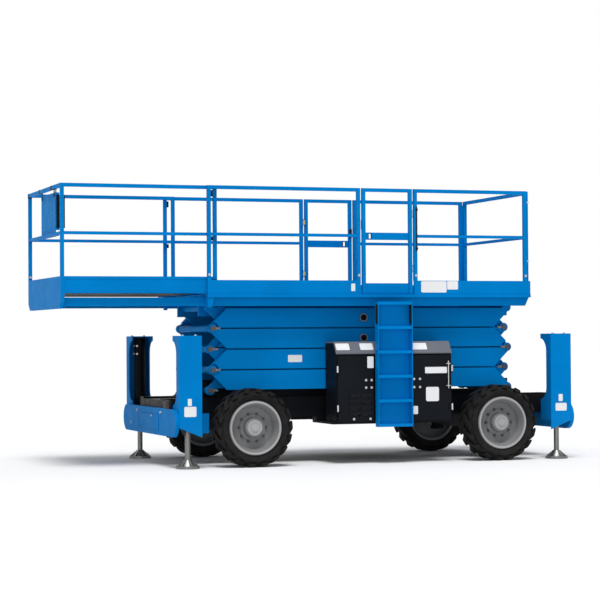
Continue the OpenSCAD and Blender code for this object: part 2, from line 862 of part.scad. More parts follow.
// Hinge pins on the inner face of the post at x; out is the way to the gate
module gate_pins(x, out) {
    hinge = x + out * (rail_d + gate_gap) / 2;
    for (z = gate_pin_zs) {
        bar_z(hinge, gate_hinge_y, gate_pin_r, z - 8, z + gate_pin_len + 8);
        for (dz = [-8, gate_pin_len])
            box([min(x, hinge), gate_hinge_y - 6, z + dz],
                [max(x, hinge), rail_y - rail_d / 2 + 2, z + dz + 8]);
    }
}

near_posts = [gate_near_x[0] - rail_d / 2, gate_near_x[1] + rail_d / 2];
far_posts = [gate_far_x[0] - rail_d / 2, gate_far_x[1] + rail_d / 2];
first_post_x = -deck_half + rail_d / 2;

module rails_near() {
    color(blue) on_side(-1) {
        side_rail(first_post_x, near_posts[0]);
        side_rail(near_posts[1], post_end_x);
        gate_pins(near_posts[1], -1);
    }
}

module rails_far() {
    color(blue) on_side(1) {
        side_rail(first_post_x, far_posts[0]);
        side_rail(far_posts[1], post_end_x);
        gate_pins(far_posts[0], 1);
    }
}

module rails_end() {
    r = rail_d / 2;
    y = rail_y - rail_d - 8;
    color(blue) {
        translate([end_rail_x, 0, 0]) rotate([0, 0, 90]) hoop(-y, y, toe_top, rail_top_z, r);
        box([end_rail_x - mid_rail_r, -y, rail_mid_z - mid_rail_r],
            [end_rail_x + mid_rail_r, y, rail_mid_z + mid_rail_r]);
    }
}

gate_slot_w = 34;
gate_slot_h = 56;
gate_slot_in = 75;

// Gate from its hinge post at x, towards out
module gate(x, w, out) {
    r = rail_d / 2;
    hinge = x + out * (r + gate_gap / 2);
    near = x + out * (rail_d + gate_gap);
    far = x + out * (w - r - gate_gap);
    x0 = min(near, far);
    x1 = max(near, far);
    latch = far - out * gate_slot_in;
    difference() {
        union() {
            translate([0, rail_y, 0]) hoop(x0, x1, floor_z + 12, rail_top_z, r);
            box([x0, rail_y - 4, rail_mid_z - 45], [x1, rail_y + 4, rail_mid_z + 35]);
            box([x0, rail_y - 4, floor_z + 14], [x1, rail_y + 4, toe_top - 29]);
            for (z = gate_pin_zs) {
                bar_z(hinge, gate_hinge_y, gate_knuckle_r, z + 2, z + gate_pin_len - 2);
                box([min(hinge, near), gate_hinge_y - 5, z + 2],
                    [max(hinge, near), rail_y - r + 2, z + gate_pin_len - 2]);
            }
        }
        for (z = gate_pin_zs) bar_z(hinge, gate_hinge_y, gate_pin_r + run, z - 1, z + gate_pin_len + 1);
        box([latch - gate_slot_w / 2, rail_y - 5, rail_mid_z - 5 - gate_slot_h / 2],
            [latch + gate_slot_w / 2, rail_y + 5, rail_mid_z - 5 + gate_slot_h / 2]);
    }
}

module gate_near() {
    color(blue) on_side(-1) gate(near_posts[1], gate_near_x[1] - gate_near_x[0] + rail_d / 2, -1);
}

module gate_far() {
    color(blue) on_side(1) gate(far_posts[0], gate_far_x[1] - gate_far_x[0] + rail_d / 2, 1);
}

// Slide-out deck

ext_floor_z0 = floor_z + 8;
ext_floor_z1 = ext_floor_z0 + 18;
ext_plate_t = 40;

// Outline of the slide-out deck's end plate, with its lower corners cut off
module end_plate(z0) {
    cut_y = 85;
    cut_z = 70;
    polygon([[-ext_y1 + cut_y, z0], [ext_y1 - cut_y, z0], [ext_y1, z0 + cut_z], [ext_y1, ext_toe_top],
             [-ext_y1, ext_toe_top], [-ext_y1, z0 + cut_z]]);
}

module extension_deck() {
    color(blue) {
        box([ext_end, -ext_y1 + 1, ext_floor_z0], [ext_rear, ext_y1 - 1, ext_floor_z1]);
        slab_x(ext_end, ext_end + ext_plate_t) end_plate(ext_beam_z0 - 25);
        both_sides() {
            box([ext_end, ext_y1 - 12, ext_floor_z0], [ext_rear, ext_y1 - 4, ext_toe_top]);
            box([ext_end, ext_y1 - 38, ext_toe_top - 28], [ext_rear, ext_y1, ext_toe_top]);
            box([ext_end + 1, ext_beam_y0, ext_beam_z0], [ext_beam_rear, ext_beam_y1, ext_beam_z1]);
        }
        both_sides() box([ext_rear - 200, ext_y1 - 120, floor_z + loose],
                         [ext_rear - 20, ext_y1 - 20, ext_floor_z0 + 1]);
    }
}

module extension_rails() {
    r = rail_d / 2;
    x = ext_end + r;
    y = ext_rail_y;
    color(blue) {
        both_sides() {
            translate([0, y, 0]) hoop(x, ext_rear - r, ext_toe_top, rail_top_z, r);
            box([x, y - mid_rail_r, rail_mid_z - mid_rail_r],
                [ext_rear - r, y + mid_rail_r, rail_mid_z + mid_rail_r]);
        }
        box([x - r, -y, rail_top_z - r], [x + r, y, rail_top_z + r]);
        box([x - mid_rail_r, -y, rail_mid_z - mid_rail_r],
            [x + mid_rail_r, y, rail_mid_z + mid_rail_r]);
    }
}

shield_x = ext_end + rail_d / 2 + mid_rail_r;
shield_t = 8;
shield_y = [-440, 290];
shield_z = [rail_mid_z - 12, rail_top_z - 50];
control_d = 92;
control_y = [-425, -60];
control_z = [rail_mid_z + 70, rail_top_z - 75];

// Folded plate on the end rail that carries the control box
module control_shield() {
    color(blue) {
        box([shield_x, shield_y[0], shield_z[0]], [shield_x + shield_t, shield_y[1], shield_z[1]]);
        for (y = [shield_y[0], shield_y[1] - shield_t])
            box([shield_x, y, shield_z[0] + 60], [shield_x + 45, y + shield_t, shield_z[1]]);
        box([shield_x, shield_y[0], shield_z[0]], [shield_x + 40, shield_y[1], shield_z[0] + shield_t]);
    }
}

module control_box() {
    x = shield_x + shield_t;
    low = control_z[0] + (control_z[1] - control_z[0]) * 0.17;
    high = control_z[1] - (control_z[1] - control_z[0]) * 0.25;
    color(dark) slab_y(control_y[0] + shield_t, control_y[1])
        polygon([[x, control_z[0]], [x + control_d - 30, control_z[0]], [x + control_d, low],
                 [x + control_d, high], [x + control_d - 40, control_z[1]], [x, control_z[1]]]);
}

// Moves the whole machine so that its origin is under its middle
module placed() {
    translate([-origin_x, 0, 0]) children();
}

placed() chassis_frame();
placed() tie_down_lugs();
placed() axle_fixed();
placed() axle_steer();
placed() knuckle_near();
placed() knuckle_far();
placed() tyre_fixed_near();
placed() tyre_fixed_far();
placed() tyre_steer_near();
placed() tyre_steer_far();
placed() rim_fixed_near();
placed() rim_fixed_far();
placed() rim_steer_near();
placed() rim_steer_far();
placed() outrigger_frame_left();
placed() outrigger_frame_right();
placed() jack_barrels();
placed() leg_left_near();
placed() leg_left_far();
placed() leg_right_near();
placed() leg_right_far();
placed() box_shells_near();
placed() box_shells_far();
placed() box_tops();
placed() door_left_near();
placed() door_right_near();
placed() door_left_far();
placed() door_right_far();
placed() engine_block();
placed() ladder_near();
placed() ladder_far();
placed() inner_arms_1();
placed() inner_arms_2();
placed() inner_arms_3();
placed() inner_arms_4();
placed() outer_arms_1();
placed() outer_arms_2();
placed() outer_arms_3();
placed() outer_arms_4();
placed() lift_barrel_lower();
placed() lift_rod_lower();
placed() lift_barrel_upper();
placed() lift_rod_upper();
placed() platform_deck();
placed() rails_near();
placed() rails_far();
placed() rails_end();
placed() gate_near();
placed() gate_far();
placed() extension_deck();
placed() extension_rails();
placed() control_shield();
placed() control_box();
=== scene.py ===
import json
import math

import bmesh
import bpy
from bpy.props import FloatProperty, FloatVectorProperty, IntProperty, PointerProperty
from mathutils import Matrix, Vector


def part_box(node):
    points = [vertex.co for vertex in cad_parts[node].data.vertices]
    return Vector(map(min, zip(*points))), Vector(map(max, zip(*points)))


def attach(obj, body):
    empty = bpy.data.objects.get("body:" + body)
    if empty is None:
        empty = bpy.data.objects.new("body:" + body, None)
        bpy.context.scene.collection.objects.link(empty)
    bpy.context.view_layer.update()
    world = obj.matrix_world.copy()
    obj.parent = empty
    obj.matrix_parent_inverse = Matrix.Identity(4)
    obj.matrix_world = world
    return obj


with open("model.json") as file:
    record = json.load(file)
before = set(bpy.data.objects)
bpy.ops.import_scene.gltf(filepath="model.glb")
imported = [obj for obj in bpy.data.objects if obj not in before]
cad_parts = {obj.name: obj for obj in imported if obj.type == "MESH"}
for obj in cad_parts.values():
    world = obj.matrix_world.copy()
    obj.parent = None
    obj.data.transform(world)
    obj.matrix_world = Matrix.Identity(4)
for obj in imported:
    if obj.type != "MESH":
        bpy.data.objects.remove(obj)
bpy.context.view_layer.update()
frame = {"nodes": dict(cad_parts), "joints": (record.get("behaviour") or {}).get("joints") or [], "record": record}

bl_info = {
    "name": "Scissor lift dressing",
    "version": (1, 0, 0),
    "blender": (4, 5, 0),
    "location": "3D View > Sidebar > Lift",
    "description": "Finishes, fittings and studio for a rough-terrain scissor lift",
    "category": "Object",
}

SIDES = {"near": -1, "far": 1}
ENDS = {"left": -1, "right": 1}
AXLES = ("fixed", "steer")
UP = (0, 0, 1)
DOWN = (0, 0, -1)


# Sizes read from the frame


def middle(node):
    """Middle of a node's box."""
    low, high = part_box(node)
    return (low + high) / 2


AXLE_MID = (middle("rim_fixed_near").x + middle("rim_steer_near").x) / 2
JOINTS = {joint["name"]: joint for joint in frame["joints"]}


def pivot(joint):
    """Place of a joint."""
    return Vector(JOINTS[joint]["pos_m"])


def at(x, y, z):
    """Place from the middle between the axles, in metres."""
    return Vector((AXLE_MID + x, y, z))


# Faces that carry fittings, as distances from the middle of the machine
INNER_FACE = 0.5768
OUTER_FACE = 0.660
OUTER_PIN_FACE = 0.6716
BUSH_FACE = 0.6676
TOE_FACE = 0.915
NUT_FACE = 1.015
DOOR_FACE = 1.056
CAP_FACE = 1.0948
LIP_FACE = 1.137
HOUSING_FACE = 1.140

# How far a fitting sinks into what carries it
SINK = 0.0005

# Turned blanks: radius, length, sides, and the steps of inset and rise that draw out the top
TURNED = {
    "wheel_nut": (0.017, 0.004, 24, ((0.003, 0), (0, 0.014), (0.005, 0), (0, 0.012), (0.002, 0.002))),
    "wheel_cap": (
        0.082, 0.006, 32, ((0.006, 0.004), (0.014, 0), (0, -0.004), (0.02, 0.008), (0.01, 0.003))),
    "arm_pin": (0.030, 0.008, 24, ((0.004, 0.003), (0.010, 0), (0, -0.002))),
    "bush_ring": (0.046, 0.003, 36, ((0.003, 0.003), (0.008, 0), (0, -0.004))),
    "bush_pin": (0.033, 0.003, 28, ((0.003, 0.001), (0.012, 0), (0, -0.002), (0.004, 0), (0, 0.002))),
    "dimple": (0.0065, 0.002, 10, ((0.0015, 0.0012), (0.002, 0), (0, -0.002))),
    "pin_head": (0.013, 0.004, 20, ((0.002, 0.002),)),
    "button": (0.015, 0.014, 28, ((-0.008, 0), (0, 0.006), (0.006, 0.005), (0.008, 0.002))),
    "key": (0.011, 0.004, 20, ((0.002, 0), (0, 0.004), (0.002, 0.002))),
    "toggle_nut": (0.010, 0.004, 6, ((0.002, 0.001),)),
    "boot": (0.023, 0.004, 28, (
        (0.002, 0.003), (-0.001, 0.004), (0.004, 0.002), (-0.001, 0.004),
        (0.004, 0.002), (-0.001, 0.004), (0.004, 0.003))),
    "stick": (0.006, 0.062, 16, ((-0.004, 0.002), (0, 0.014), (0.003, 0.004), (0.003, 0.002))),
    "nipple": (0.012, 0.012, 6, ((0.002, 0), (0, 0.008), (0.003, 0.003))),
}

# Parts of a bolt: radius, height, sides, inset and rise of the top; lengths as shares of its radius
BOLT_PARTS = {"washer": (1.25, 0.2, 20, 0.08, 0.05), "head": (1.0, 0.8, 6, 0.14, 0.1)}
SMALL_BOLT = 0.009

# Plates: corners and widest border are shares of the shorter edge, the sunk face one of the thickness
PLATE_CORNER = 0.12
PLATE_CORNER_SEGMENTS = 4
PLATE_BORDER = 0.006
PLATE_BORDER_MOST = 0.07
PLATE_RIM_SLOPE = 0.0005
PLATE_SUNK = 0.3

# Round edge of thin sheet, and the drawn-in tip of a rod as a share of its radius
SHEET_EDGE = 0.001
ROD_TIP = 0.15

# Limits of modelling: cosine for a face that points a way, distance of welded points, smoothed angle
FACING = 0.9
WELD = 0.00002
SMOOTH_ANGLE = math.radians(35)

# Wheels: outline of the rim's lip as (radius, height) points
LIP_SIDES = 64
LIP_OUTLINE = (
    (0.2815, -0.006), (0.2815, 0.001), (0.279, 0.004), (0.268, 0.004), (0.262, 0.001), (0.2585, -0.006))

# Scissor arms
LEVEL_JOINTS = ("lift", "fold_2", "fold_3", "fold_4")
KEEPER_SIZE = (0.075, 0.022, 0.005)
KEEPER_SHIFT = 0.045
KEEPER_BOLT_SHIFT = 0.066
KEEPER_BOLT_SEAT = 0.0035

# Blank plates: left and right edge, lower and upper edge
TOE_PLATES = ((0.557, 0.858, 1.848, 1.973), (0.865, 0.994, 1.881, 1.974), (-0.26, -0.214, 1.863, 1.944))
HOUSING_PLATES = (
    (-2.20, -2.07, 0.545, 0.651), (-2.162, -2.12, 0.66, 0.733),
    (2.06, 2.195, 0.535, 0.62), (2.098, 2.147, 0.641, 0.719))
ARM_PLATES = ((-0.901, -0.741, 1.098, 1.175),)
DOOR_PLATES = {
    "left": ((-0.134, -0.062, 1.03, 1.155),),
    "right": ((0.537, 0.795, 0.966, 1.034), (0.546, 0.698, 0.662, 0.817), (0.397, 0.45, 0.525, 0.613)),
}

# Doors: places of the bolts in X and Z, hinge sleeves, and the stay on the right door
DOOR_BOLTS = {
    "left": ((-0.15, 0.90), (-0.085, 0.90), (-0.15, 0.82), (-0.085, 0.82), (-0.291, 0.484), (-0.102, 0.484)),
    "right": ((0.407, 0.906), (0.476, 0.906), (0.407, 0.818), (0.476, 0.818)),
}
DOOR_HINGE_LOWS = (0.56, 0.98)
DOOR_KNUCKLE = 0.080
DOOR_SLEEVE_RADIUS = 0.0115
SLEEVE_GAP = 0.004
SLEEVE_SIDES = 20
STAY_X = 0.806
STAY_LOW = 0.80
STAY_HIGH = 1.10
STAY_OFF = 0.016
STAY_RADIUS = 0.006
EYE_IN = 0.03
EYE_SINK = 0.001
EYE_REACH = 0.024
EYE_RADIUS = 0.010
EYE_BAR_HALF = 0.028
EYE_BAR_RADIUS = 0.004

# Sloped front edge of the box tops
SLOPE_FRONT = 1.030
SLOPE_DEPTH = 0.075
SLOPE_LOW = 1.190
SLOPE_RISE = 0.110
SLOPE_SKIN = 0.015
TOP_PLATES = ((-0.471, -0.317), (-0.195, -0.045), (0.394, 0.582))
TOP_PLATE_HEIGHT = 0.085

# Ladder steps and their grip strips
STEP_COUNT = 6
STEP_FIRST = 0.425
STEP_TOP = 1.740
STRIP_IN = 0.012
STRIP_DEPTH = 0.055
STRIP_RISE = 0.0035
STRIP_EDGE = 0.0015
DIMPLE_COLUMNS = 12
DIMPLE_ROWS = 2
DIMPLE_END = 0.035
DIMPLE_FRONT = 0.015
DIMPLE_PITCH = 0.024
DIMPLE_SEAT = 0.003

# Hand holds in the ladders' cheeks: outline of the liner as (radius, height) points
HOLD_Z = 1.610
HOLD_IN = 0.038
HOLD_STRETCH = 0.075
HOLD_SIDES = 24
CHEEK = 0.008
HOLD_OUTLINE = (
    (0.0135, -0.004), (0.032, -0.004), (0.034, -0.002), (0.034, 0.0002), (0.0172, 0.0002),
    (0.0172, 0.0078), (0.034, 0.0078), (0.034, 0.010), (0.032, 0.012), (0.0135, 0.012))

# Posts of the rails and their bolts
POSTS = {"near": (-1.854, -0.167, 0.497, 1.815), "far": (-1.854, -0.209, 0.456, 1.815)}
POST_BOLT_Z = 2.034
EXTENSION_POSTS = (-3.42, -1.774)
EXTENSION_POST_INNER = 0.829
EXTENSION_BOLT_Z = 2.05

# Gates: hinge sleeves, latch and lined slot
GATE_INNER = 0.877
GATE_HINGE_LOWS = (2.080, 2.680)
GATE_KNUCKLE = 0.060
GATE_SLEEVE_RADIUS = 0.0102
LATCH_IN = 0.019
LATCH_HALF = 0.017
LATCH_DEPTH = 0.016
LATCH_Z = (2.535, 2.635)
LATCH_STEPS = ((0.004, 0.003), (0.006, 0), (0, -0.002))
LATCH_EDGE = 0.0009
GATE_SLOT_X = {"near": -0.032, "far": 0.321}
GATE_SLOT_Z = 2.460
GATE_SLOT_SIZE = (0.0345, 0.0565)
GATE_SLOT_OUT = (0.876, 0.903)
GATE_SLOT_WALL = 0.0025
GATE_SLOT_EDGE = 0.0007

# Corner of the end rail: pins, tabs and spacer
CORNER_LEVELS = (2.20, 2.855)
CORNER_PIN_X = 1.848
CORNER_PIN_OUT = (0.860, 0.914)
CORNER_PIN_RADIUS = 0.0085
CORNER_PIN_SIDES = 20
TAB_X = (1.8335, 1.8385)
TAB_OUT = (0.868, 0.912)
TAB_HALF = 0.03
SPACER_X = (1.822, 1.846)
SPACER_OUT = (0.8688, 0.8772)
SPACER_Z = (1.995, 2.940)

# Pads on the first post, and the bar on the near gate's hinge post
PAD_X = (-1.836, -1.812)
PAD_OUT = (0.882, 0.911)
PAD_LEVELS = ((2.862, 2.93), (2.395, 2.44))
PAD_EDGE = 0.005
SOFT_SEGMENTS = 3
BAR_X = 0.507
BAR_Z = (2.302, 2.785)
BAR_OFF = 0.008
BAR_RADIUS = 0.007
CLIP_LEVELS = (2.33, 2.755)
CLIP_HALF = 0.012
CLIP_REACH = 0.017
CLIP_EDGE = 0.003

# Control box: shares of its width and height for the panel; rows are first place and pitch as shares
# of the width, count, and height over the panel's middle
PANEL_WIDTH = 0.86
PANEL_HEIGHT = 0.46
PANEL_LEVEL = 0.46
PANEL_THICKNESS = 0.002
PANEL_BORDER = 0.004
PANEL_ROW = (0.5, 0, 1, 0)
BUTTON_ROW = (0.84, 0, 1, 0)
KEY_ROW = (0.20, 0.11, 5, 0.045)
TOGGLE_ROW = (0.24, 0.15, 3, -0.035)
TOGGLE_BASE = Vector((0.002, 0, 0))
TOGGLE_TIP = Vector((0.026, 0, 0.010))
TOGGLE_RADIUS = 0.0035
TOGGLE_SIDES = 12
LEVER_IN = 0.027
LEVER_ACROSS = 0.3
STICK_BASE = Vector((0, 0, 0.004))
COVER_IN = 0.004
COVER_PAST = 0.003
COVER_THICKNESS = 0.006
COVER_STEPS = ((0.008, 0), (0.002, 0.003))
COVER_EDGE = 0.002

# Clamps between the slide-out deck's end rail and the shield
RAIL_TUBE = 0.038
CLAMP_WALL = 0.003
CLAMP_IN = 0.05
CLAMP_HALF = 0.025
CLAMP_EDGE = 0.004
STRAP_HALF = 0.02
STRAP_DEPTH = 0.002
STRAP_LAP = 0.036
STRAP_DOWN = 0.05
STRAP_BOLT_DOWN = 0.03
CORNER_CAP_DOWN = 0.05
CORNER_CAP_EDGE = 0.005

# Outriggers
BEAM_FACE = 2.293
BEAM_BOLTS = ((0.471, 0.575), (-0.165, 0.532), (-0.538, 0.575), (0.732, 0.425))
BEAM_COVER_SIZE = (0.84, 0.17, 0.008)
BEAM_COVER_SHIFT = 0.02
BEAM_COVER_Z = 0.465
BEAM_COVER_BORDER = 0.02
HOUSING_TOP = 1.390
HOUSING_BOLT_Y = 1.085
HOUSING_BOLTS = (2.06, 2.20)
OUTRIGGER_BOLT_SCALE = 1.2
JACK_RADIUS = 0.062
JACK_FITTINGS = (1.19, 1.28)
JACK_FITTING_WAYS = ((0.6, -0.8), (0.95, -0.3))
JACK_FITTING_SINK = 0.002
VALVE_OFF = (0.002, 0.036)
VALVE_Y = (-0.87, -0.63)
VALVE_Z = (0.6195, 0.70)
VALVE_STEPS = ((0.008, 0), (0, 0.012), (0.004, 0.004))
VALVE_EDGE = 0.0018

# Decks: a tread is its left and right edge, half its width, the floor's height and the bars' rise
DECK_TREAD = (-1.80, 1.80, 0.70, 1.833, 0.0015)
EXTENSION_TREAD = (-3.36, -1.80, 0.80, 1.856, 0.002)
TREAD_PITCH = 0.09
TREAD_TURN = 45
TREAD_BAR_HALF = (0.020, 0.0045)
TREAD_BAR_EDGE = 0.0018
SEAM_X = (-0.245, -0.215)
SEAM_OUT = (0.869, 0.8725)
SEAM_Z = (1.707, 1.808)
# Painted shade: black sheet under the slide-out deck's floor, its edges in X, half its width, its lower and upper
# face, its steps and its round edge
PAINTED_SHADE_X = (-3.39, -1.975)
PAINTED_SHADE_HALF = 0.85
PAINTED_SHADE_Z = (1.8362, 1.8383)
PAINTED_SHADE_STEPS = ((0.03, 0), (0.004, -0.0006))
PAINTED_SHADE_EDGE = 0.0002

# Studio: a light is its name, its setting, the way that it shines and its spread in degrees
FLOOR_SIZE = 160.0
FLOOR_TONES = ((0.93, 0.93, 0.93), (0.95, 0.95, 0.95))
LIGHTS = (("Top light", "sun", (0.15, 0.42, -1.0), 24), ("Front light", "front", (0.45, 1.0, -0.20), 40))
WHITE_RAYS = ("Is Camera Ray", "Is Glossy Ray", "Is Transmission Ray")
SENSOR_WIDTH = 36.0
VIEW_END = 300.0

# Finishes of each slot; the first is the one of the CAD nodes
SLOT_FINISHES = {
    "blue_paint": ("Blue enamel",),
    "dark_paint": ("Dark box coat", "Slate coat", "Red plastic"),
    "grey_paint": ("Grey wheel paint", "Pale wheel paint", "Plate white", "Deck grit"),
    "tyre_rubber": ("Tyre rubber",),
    "bare_steel": ("Bright steel", "Leg steel", "Dark steel", "Hinge brass"),
    "black_paint": ("Chassis black", "Black plastic"),
}
NODE_FINISH = {
    "box_tops": "Slate coat",
    **{f"leg_{end}_{side}": "Leg steel" for end in ENDS for side in SIDES},
}

# Paints: colour setting, roughness, scale of the peel, height and share of the dust, gloss, shade drift
PAINTS = {
    "Blue enamel": ("blue", 0.45, 320.0, 0.7, 0.03, 0.015, 0.08),
    "Dark box coat": ("dark", 0.45, 180.0, 0.9, 0.012, 0.06, 0.25),
    "Chassis black": ("black", 0.52, 240.0, 0.8, 0.02, 0.05, 0.25),
    "Grey wheel paint": ("grey", 0.45, 300.0, 0.6, 0.08, 0.10, 0.08),
    "Pale wheel paint": ("pale", 0.42, 300.0, 0.6, 0.06, 0.12, 0.08),
    "Slate coat": ("slate", 0.40, 260.0, 0.3, 0.0, 0.15, 0.08),
    "Plate white": ("plate", 0.42, 400.0, 0.9, 0.06, 0.1, 0.03),
    "Red plastic": ("red", 0.35, 500.0, 0.1, 0.0, 0.3, 0.06),
    "Black plastic": ("black", 0.55, 600.0, 0.1, 0.0, 0.2, 0.2),
    "Deck grit": ("grey", 0.70, 700.0, 0.1, 0.0, 0.1, 0.15),
}

# Metals: colour setting, roughness, stretch of the drawn lines
METALS = {
    "Bright steel": ("steel", 0.30, (1, 1, 0.08)),
    "Leg steel": ("leg_steel", 0.38, (1, 1, 0.08)),
    "Dark steel": ("dark_steel", 0.42, (1, 1, 0.3)),
    "Hinge brass": ("brass", 0.30, (1, 1, 0.1)),
}

# Sockets of the mix node that hold colours
MIX_COLOURS = (6, 7)
MIX_RESULT = 2


# Settings


class LIFT_PG_paint(bpy.types.PropertyGroup):
    """Colours of the finishes"""
    blue: FloatVectorProperty(
        name="Blue", description="Paint of the arms, the decks and the rails", subtype="COLOR",
        default=(0.0, 0.195, 0.55), min=0, max=1)
    dark: FloatVectorProperty(
        name="Dark", description="Textured coat of the boxes and their doors", subtype="COLOR",
        default=(0.006, 0.0075, 0.0105), min=0, max=1)
    black: FloatVectorProperty(
        name="Black", description="Paint of the chassis and the axles", subtype="COLOR",
        default=(0.0055, 0.006, 0.0075), min=0, max=1)
    grey: FloatVectorProperty(
        name="Grey", description="Paint of the wheels", subtype="COLOR",
        default=(0.20, 0.203, 0.208), min=0, max=1)
    pale: FloatVectorProperty(
        name="Pale grey", description="Paint of the wheels' lips and the hub caps", subtype="COLOR",
        default=(0.36, 0.36, 0.365), min=0, max=1)
    slate: FloatVectorProperty(
        name="Slate", description="Paint of the box tops", subtype="COLOR",
        default=(0.135, 0.145, 0.17), min=0, max=1)
    rubber: FloatVectorProperty(
        name="Rubber", description="Tyres and pads", subtype="COLOR",
        default=(0.0065, 0.0065, 0.007), min=0, max=1)
    steel: FloatVectorProperty(
        name="Steel", description="Cylinder rods, bolts and sleeves", subtype="COLOR",
        default=(0.56, 0.565, 0.57), min=0, max=1)
    leg_steel: FloatVectorProperty(
        name="Leg steel", description="Jack legs, feet and pin keepers", subtype="COLOR",
        default=(0.20, 0.20, 0.197), min=0, max=1)
    dark_steel: FloatVectorProperty(
        name="Dark steel", description="Pin ends and wheel nuts", subtype="COLOR",
        default=(0.10, 0.10, 0.105), min=0, max=1)
    brass: FloatVectorProperty(
        name="Brass", description="Hinge sleeves of the gates", subtype="COLOR",
        default=(0.62, 0.40, 0.13), min=0, max=1)
    plate: FloatVectorProperty(
        name="Plate", description="Blank plates", subtype="COLOR",
        default=(0.78, 0.79, 0.80), min=0, max=1)
    red: FloatVectorProperty(
        name="Red", description="Stop button", subtype="COLOR",
        default=(0.55, 0.012, 0.010), min=0, max=1)
    dust: FloatVectorProperty(
        name="Dust", description="Dust on the low pieces", subtype="COLOR",
        default=(0.30, 0.285, 0.26), min=0, max=1)


class LIFT_PG_fittings(bpy.types.PropertyGroup):
    """Sizes of the fittings"""
    plate_thickness: FloatProperty(
        name="Plate thickness", description="Thickness of a blank plate", subtype="DISTANCE", default=0.002)
    bolt_radius: FloatProperty(
        name="Bolt radius", description="Half the width of a bolt's head", subtype="DISTANCE", default=0.011)
    nut_count: IntProperty(
        name="Wheel nuts", description="Nuts on each wheel", default=10)
    nut_circle: FloatProperty(
        name="Nut circle", description="Radius of the ring of wheel nuts", subtype="DISTANCE", default=0.148)


class LIFT_PG_stage(bpy.types.PropertyGroup):
    """View and light of the studio"""
    camera_place: FloatVectorProperty(
        name="Camera", description="Place of the camera", subtype="TRANSLATION",
        default=(-7.1172, -20.9794, 1.3656))
    yaw: FloatProperty(
        name="Yaw", description="Turn of the view from +Y towards +X", subtype="ANGLE",
        default=math.radians(18.8343))
    pitch: FloatProperty(
        name="Pitch", description="Tilt of the view upwards", subtype="ANGLE", default=math.radians(1.0818))
    roll: FloatProperty(
        name="Roll", description="Roll of the view", subtype="ANGLE", default=math.radians(-0.3763))
    lens: FloatProperty(
        name="Lens", description="Focal length on a 36 mm sensor", unit="CAMERA", default=118.651)
    sun: FloatProperty(
        name="Top light", description="Strength of the soft light from above", default=2.1)
    front: FloatProperty(
        name="Front light", description="Strength of the low soft light from the front", default=0.35)
    sky: FloatProperty(
        name="Room light", description="Strength of the light from all sides", default=0.46)


# Modelling helpers


def clear_pick():
    """Object mode with nothing selected."""
    if bpy.context.mode != "OBJECT":
        bpy.ops.object.mode_set(mode="OBJECT")
    bpy.ops.object.select_all(action="DESELECT")


def make_active(piece):
    """Object mode with only this piece selected."""
    clear_pick()
    piece.select_set(True)
    bpy.context.view_layer.objects.active = piece


def named(piece, name):
    """Piece and mesh with one name."""
    piece.name = name
    piece.data.name = name
    return piece


def block(name, low, high):
    """Blank between two corners."""
    clear_pick()
    low, high = Vector(low), Vector(high)
    bpy.ops.mesh.primitive_cube_add(size=1.0, location=(low + high) / 2)
    piece = bpy.context.active_object
    piece.scale = high - low
    bpy.ops.object.transform_apply(location=True, rotation=True, scale=True)
    return named(piece, name)


def side_block(name, way, across, out, up):
    """Blank on a side of the machine: its two places along X, outwards from the middle, and in Z."""
    y0, y1 = sorted(way * place for place in out)
    return block(name, at(across[0], y0, up[0]), at(across[1], y1, up[1]))


def apply_modifier(piece, modifier):
    """Modifier made part of the mesh."""
    make_active(piece)
    bpy.ops.object.modifier_apply(modifier=modifier.name)


def round_edges(piece, width, segments=2):
    """Rounds the sharp edges."""
    bevel = piece.modifiers.new("Round", "BEVEL")
    bevel.width = width
    bevel.segments = segments
    bevel.limit_method = "ANGLE"
    apply_modifier(piece, bevel)
    return piece


def pick(piece, kind, test):
    """Edit mode with only the vertices, edges or faces selected that pass the test."""
    make_active(piece)
    bpy.ops.object.mode_set(mode="EDIT")
    bpy.ops.mesh.select_mode(type=kind)
    bpy.ops.mesh.select_all(action="DESELECT")
    mesh = bmesh.from_edit_mesh(piece.data)
    elements = {"VERT": mesh.verts, "EDGE": mesh.edges, "FACE": mesh.faces}[kind]
    picked = [element for element in elements if test(element)]
    if not picked:
        raise RuntimeError(f"{piece.name} has nothing to pick")
    for element in picked:
        element.select_set(True)
    mesh.select_flush_mode()
    bmesh.update_edit_mesh(piece.data)


def widen(by):
    """Draws the outline of the selected flat faces outwards."""
    mesh = bmesh.from_edit_mesh(bpy.context.active_object.data)
    spots = [vert.co.copy() for vert in mesh.verts if vert.select]
    centre = sum(spots, Vector()) / len(spots)
    factor = 1 + by / max((spot - centre).length for spot in spots)
    bpy.ops.mesh.extrude_region_move(TRANSFORM_OT_translate={"value": (0, 0, 0)})
    bpy.ops.transform.resize(value=(factor, factor, factor), center_override=centre)


def draw_out(piece, way, steps):
    """Insets, widens and pulls the faces that point a way, step by step."""
    way = Vector(way)
    pick(piece, "FACE", lambda face: face.normal.dot(way) > FACING)
    for inset, rise in steps:
        if inset > 0:
            bpy.ops.mesh.inset(thickness=inset, depth=0)
        elif inset < 0:
            widen(-inset)
        if rise:
            bpy.ops.mesh.extrude_region_move(TRANSFORM_OT_translate={"value": way * rise})
    bpy.ops.object.mode_set(mode="OBJECT")


def stud(name, radius, length, sides, steps):
    """Turned blank along +Z from the origin, with its top drawn in steps of inset and rise."""
    clear_pick()
    bpy.ops.mesh.primitive_cylinder_add(
        vertices=sides, radius=radius, depth=length, location=(0, 0, length / 2))
    piece = bpy.context.active_object
    bpy.ops.object.transform_apply(location=True, rotation=True, scale=True)
    draw_out(piece, UP, steps)
    return named(piece, name)


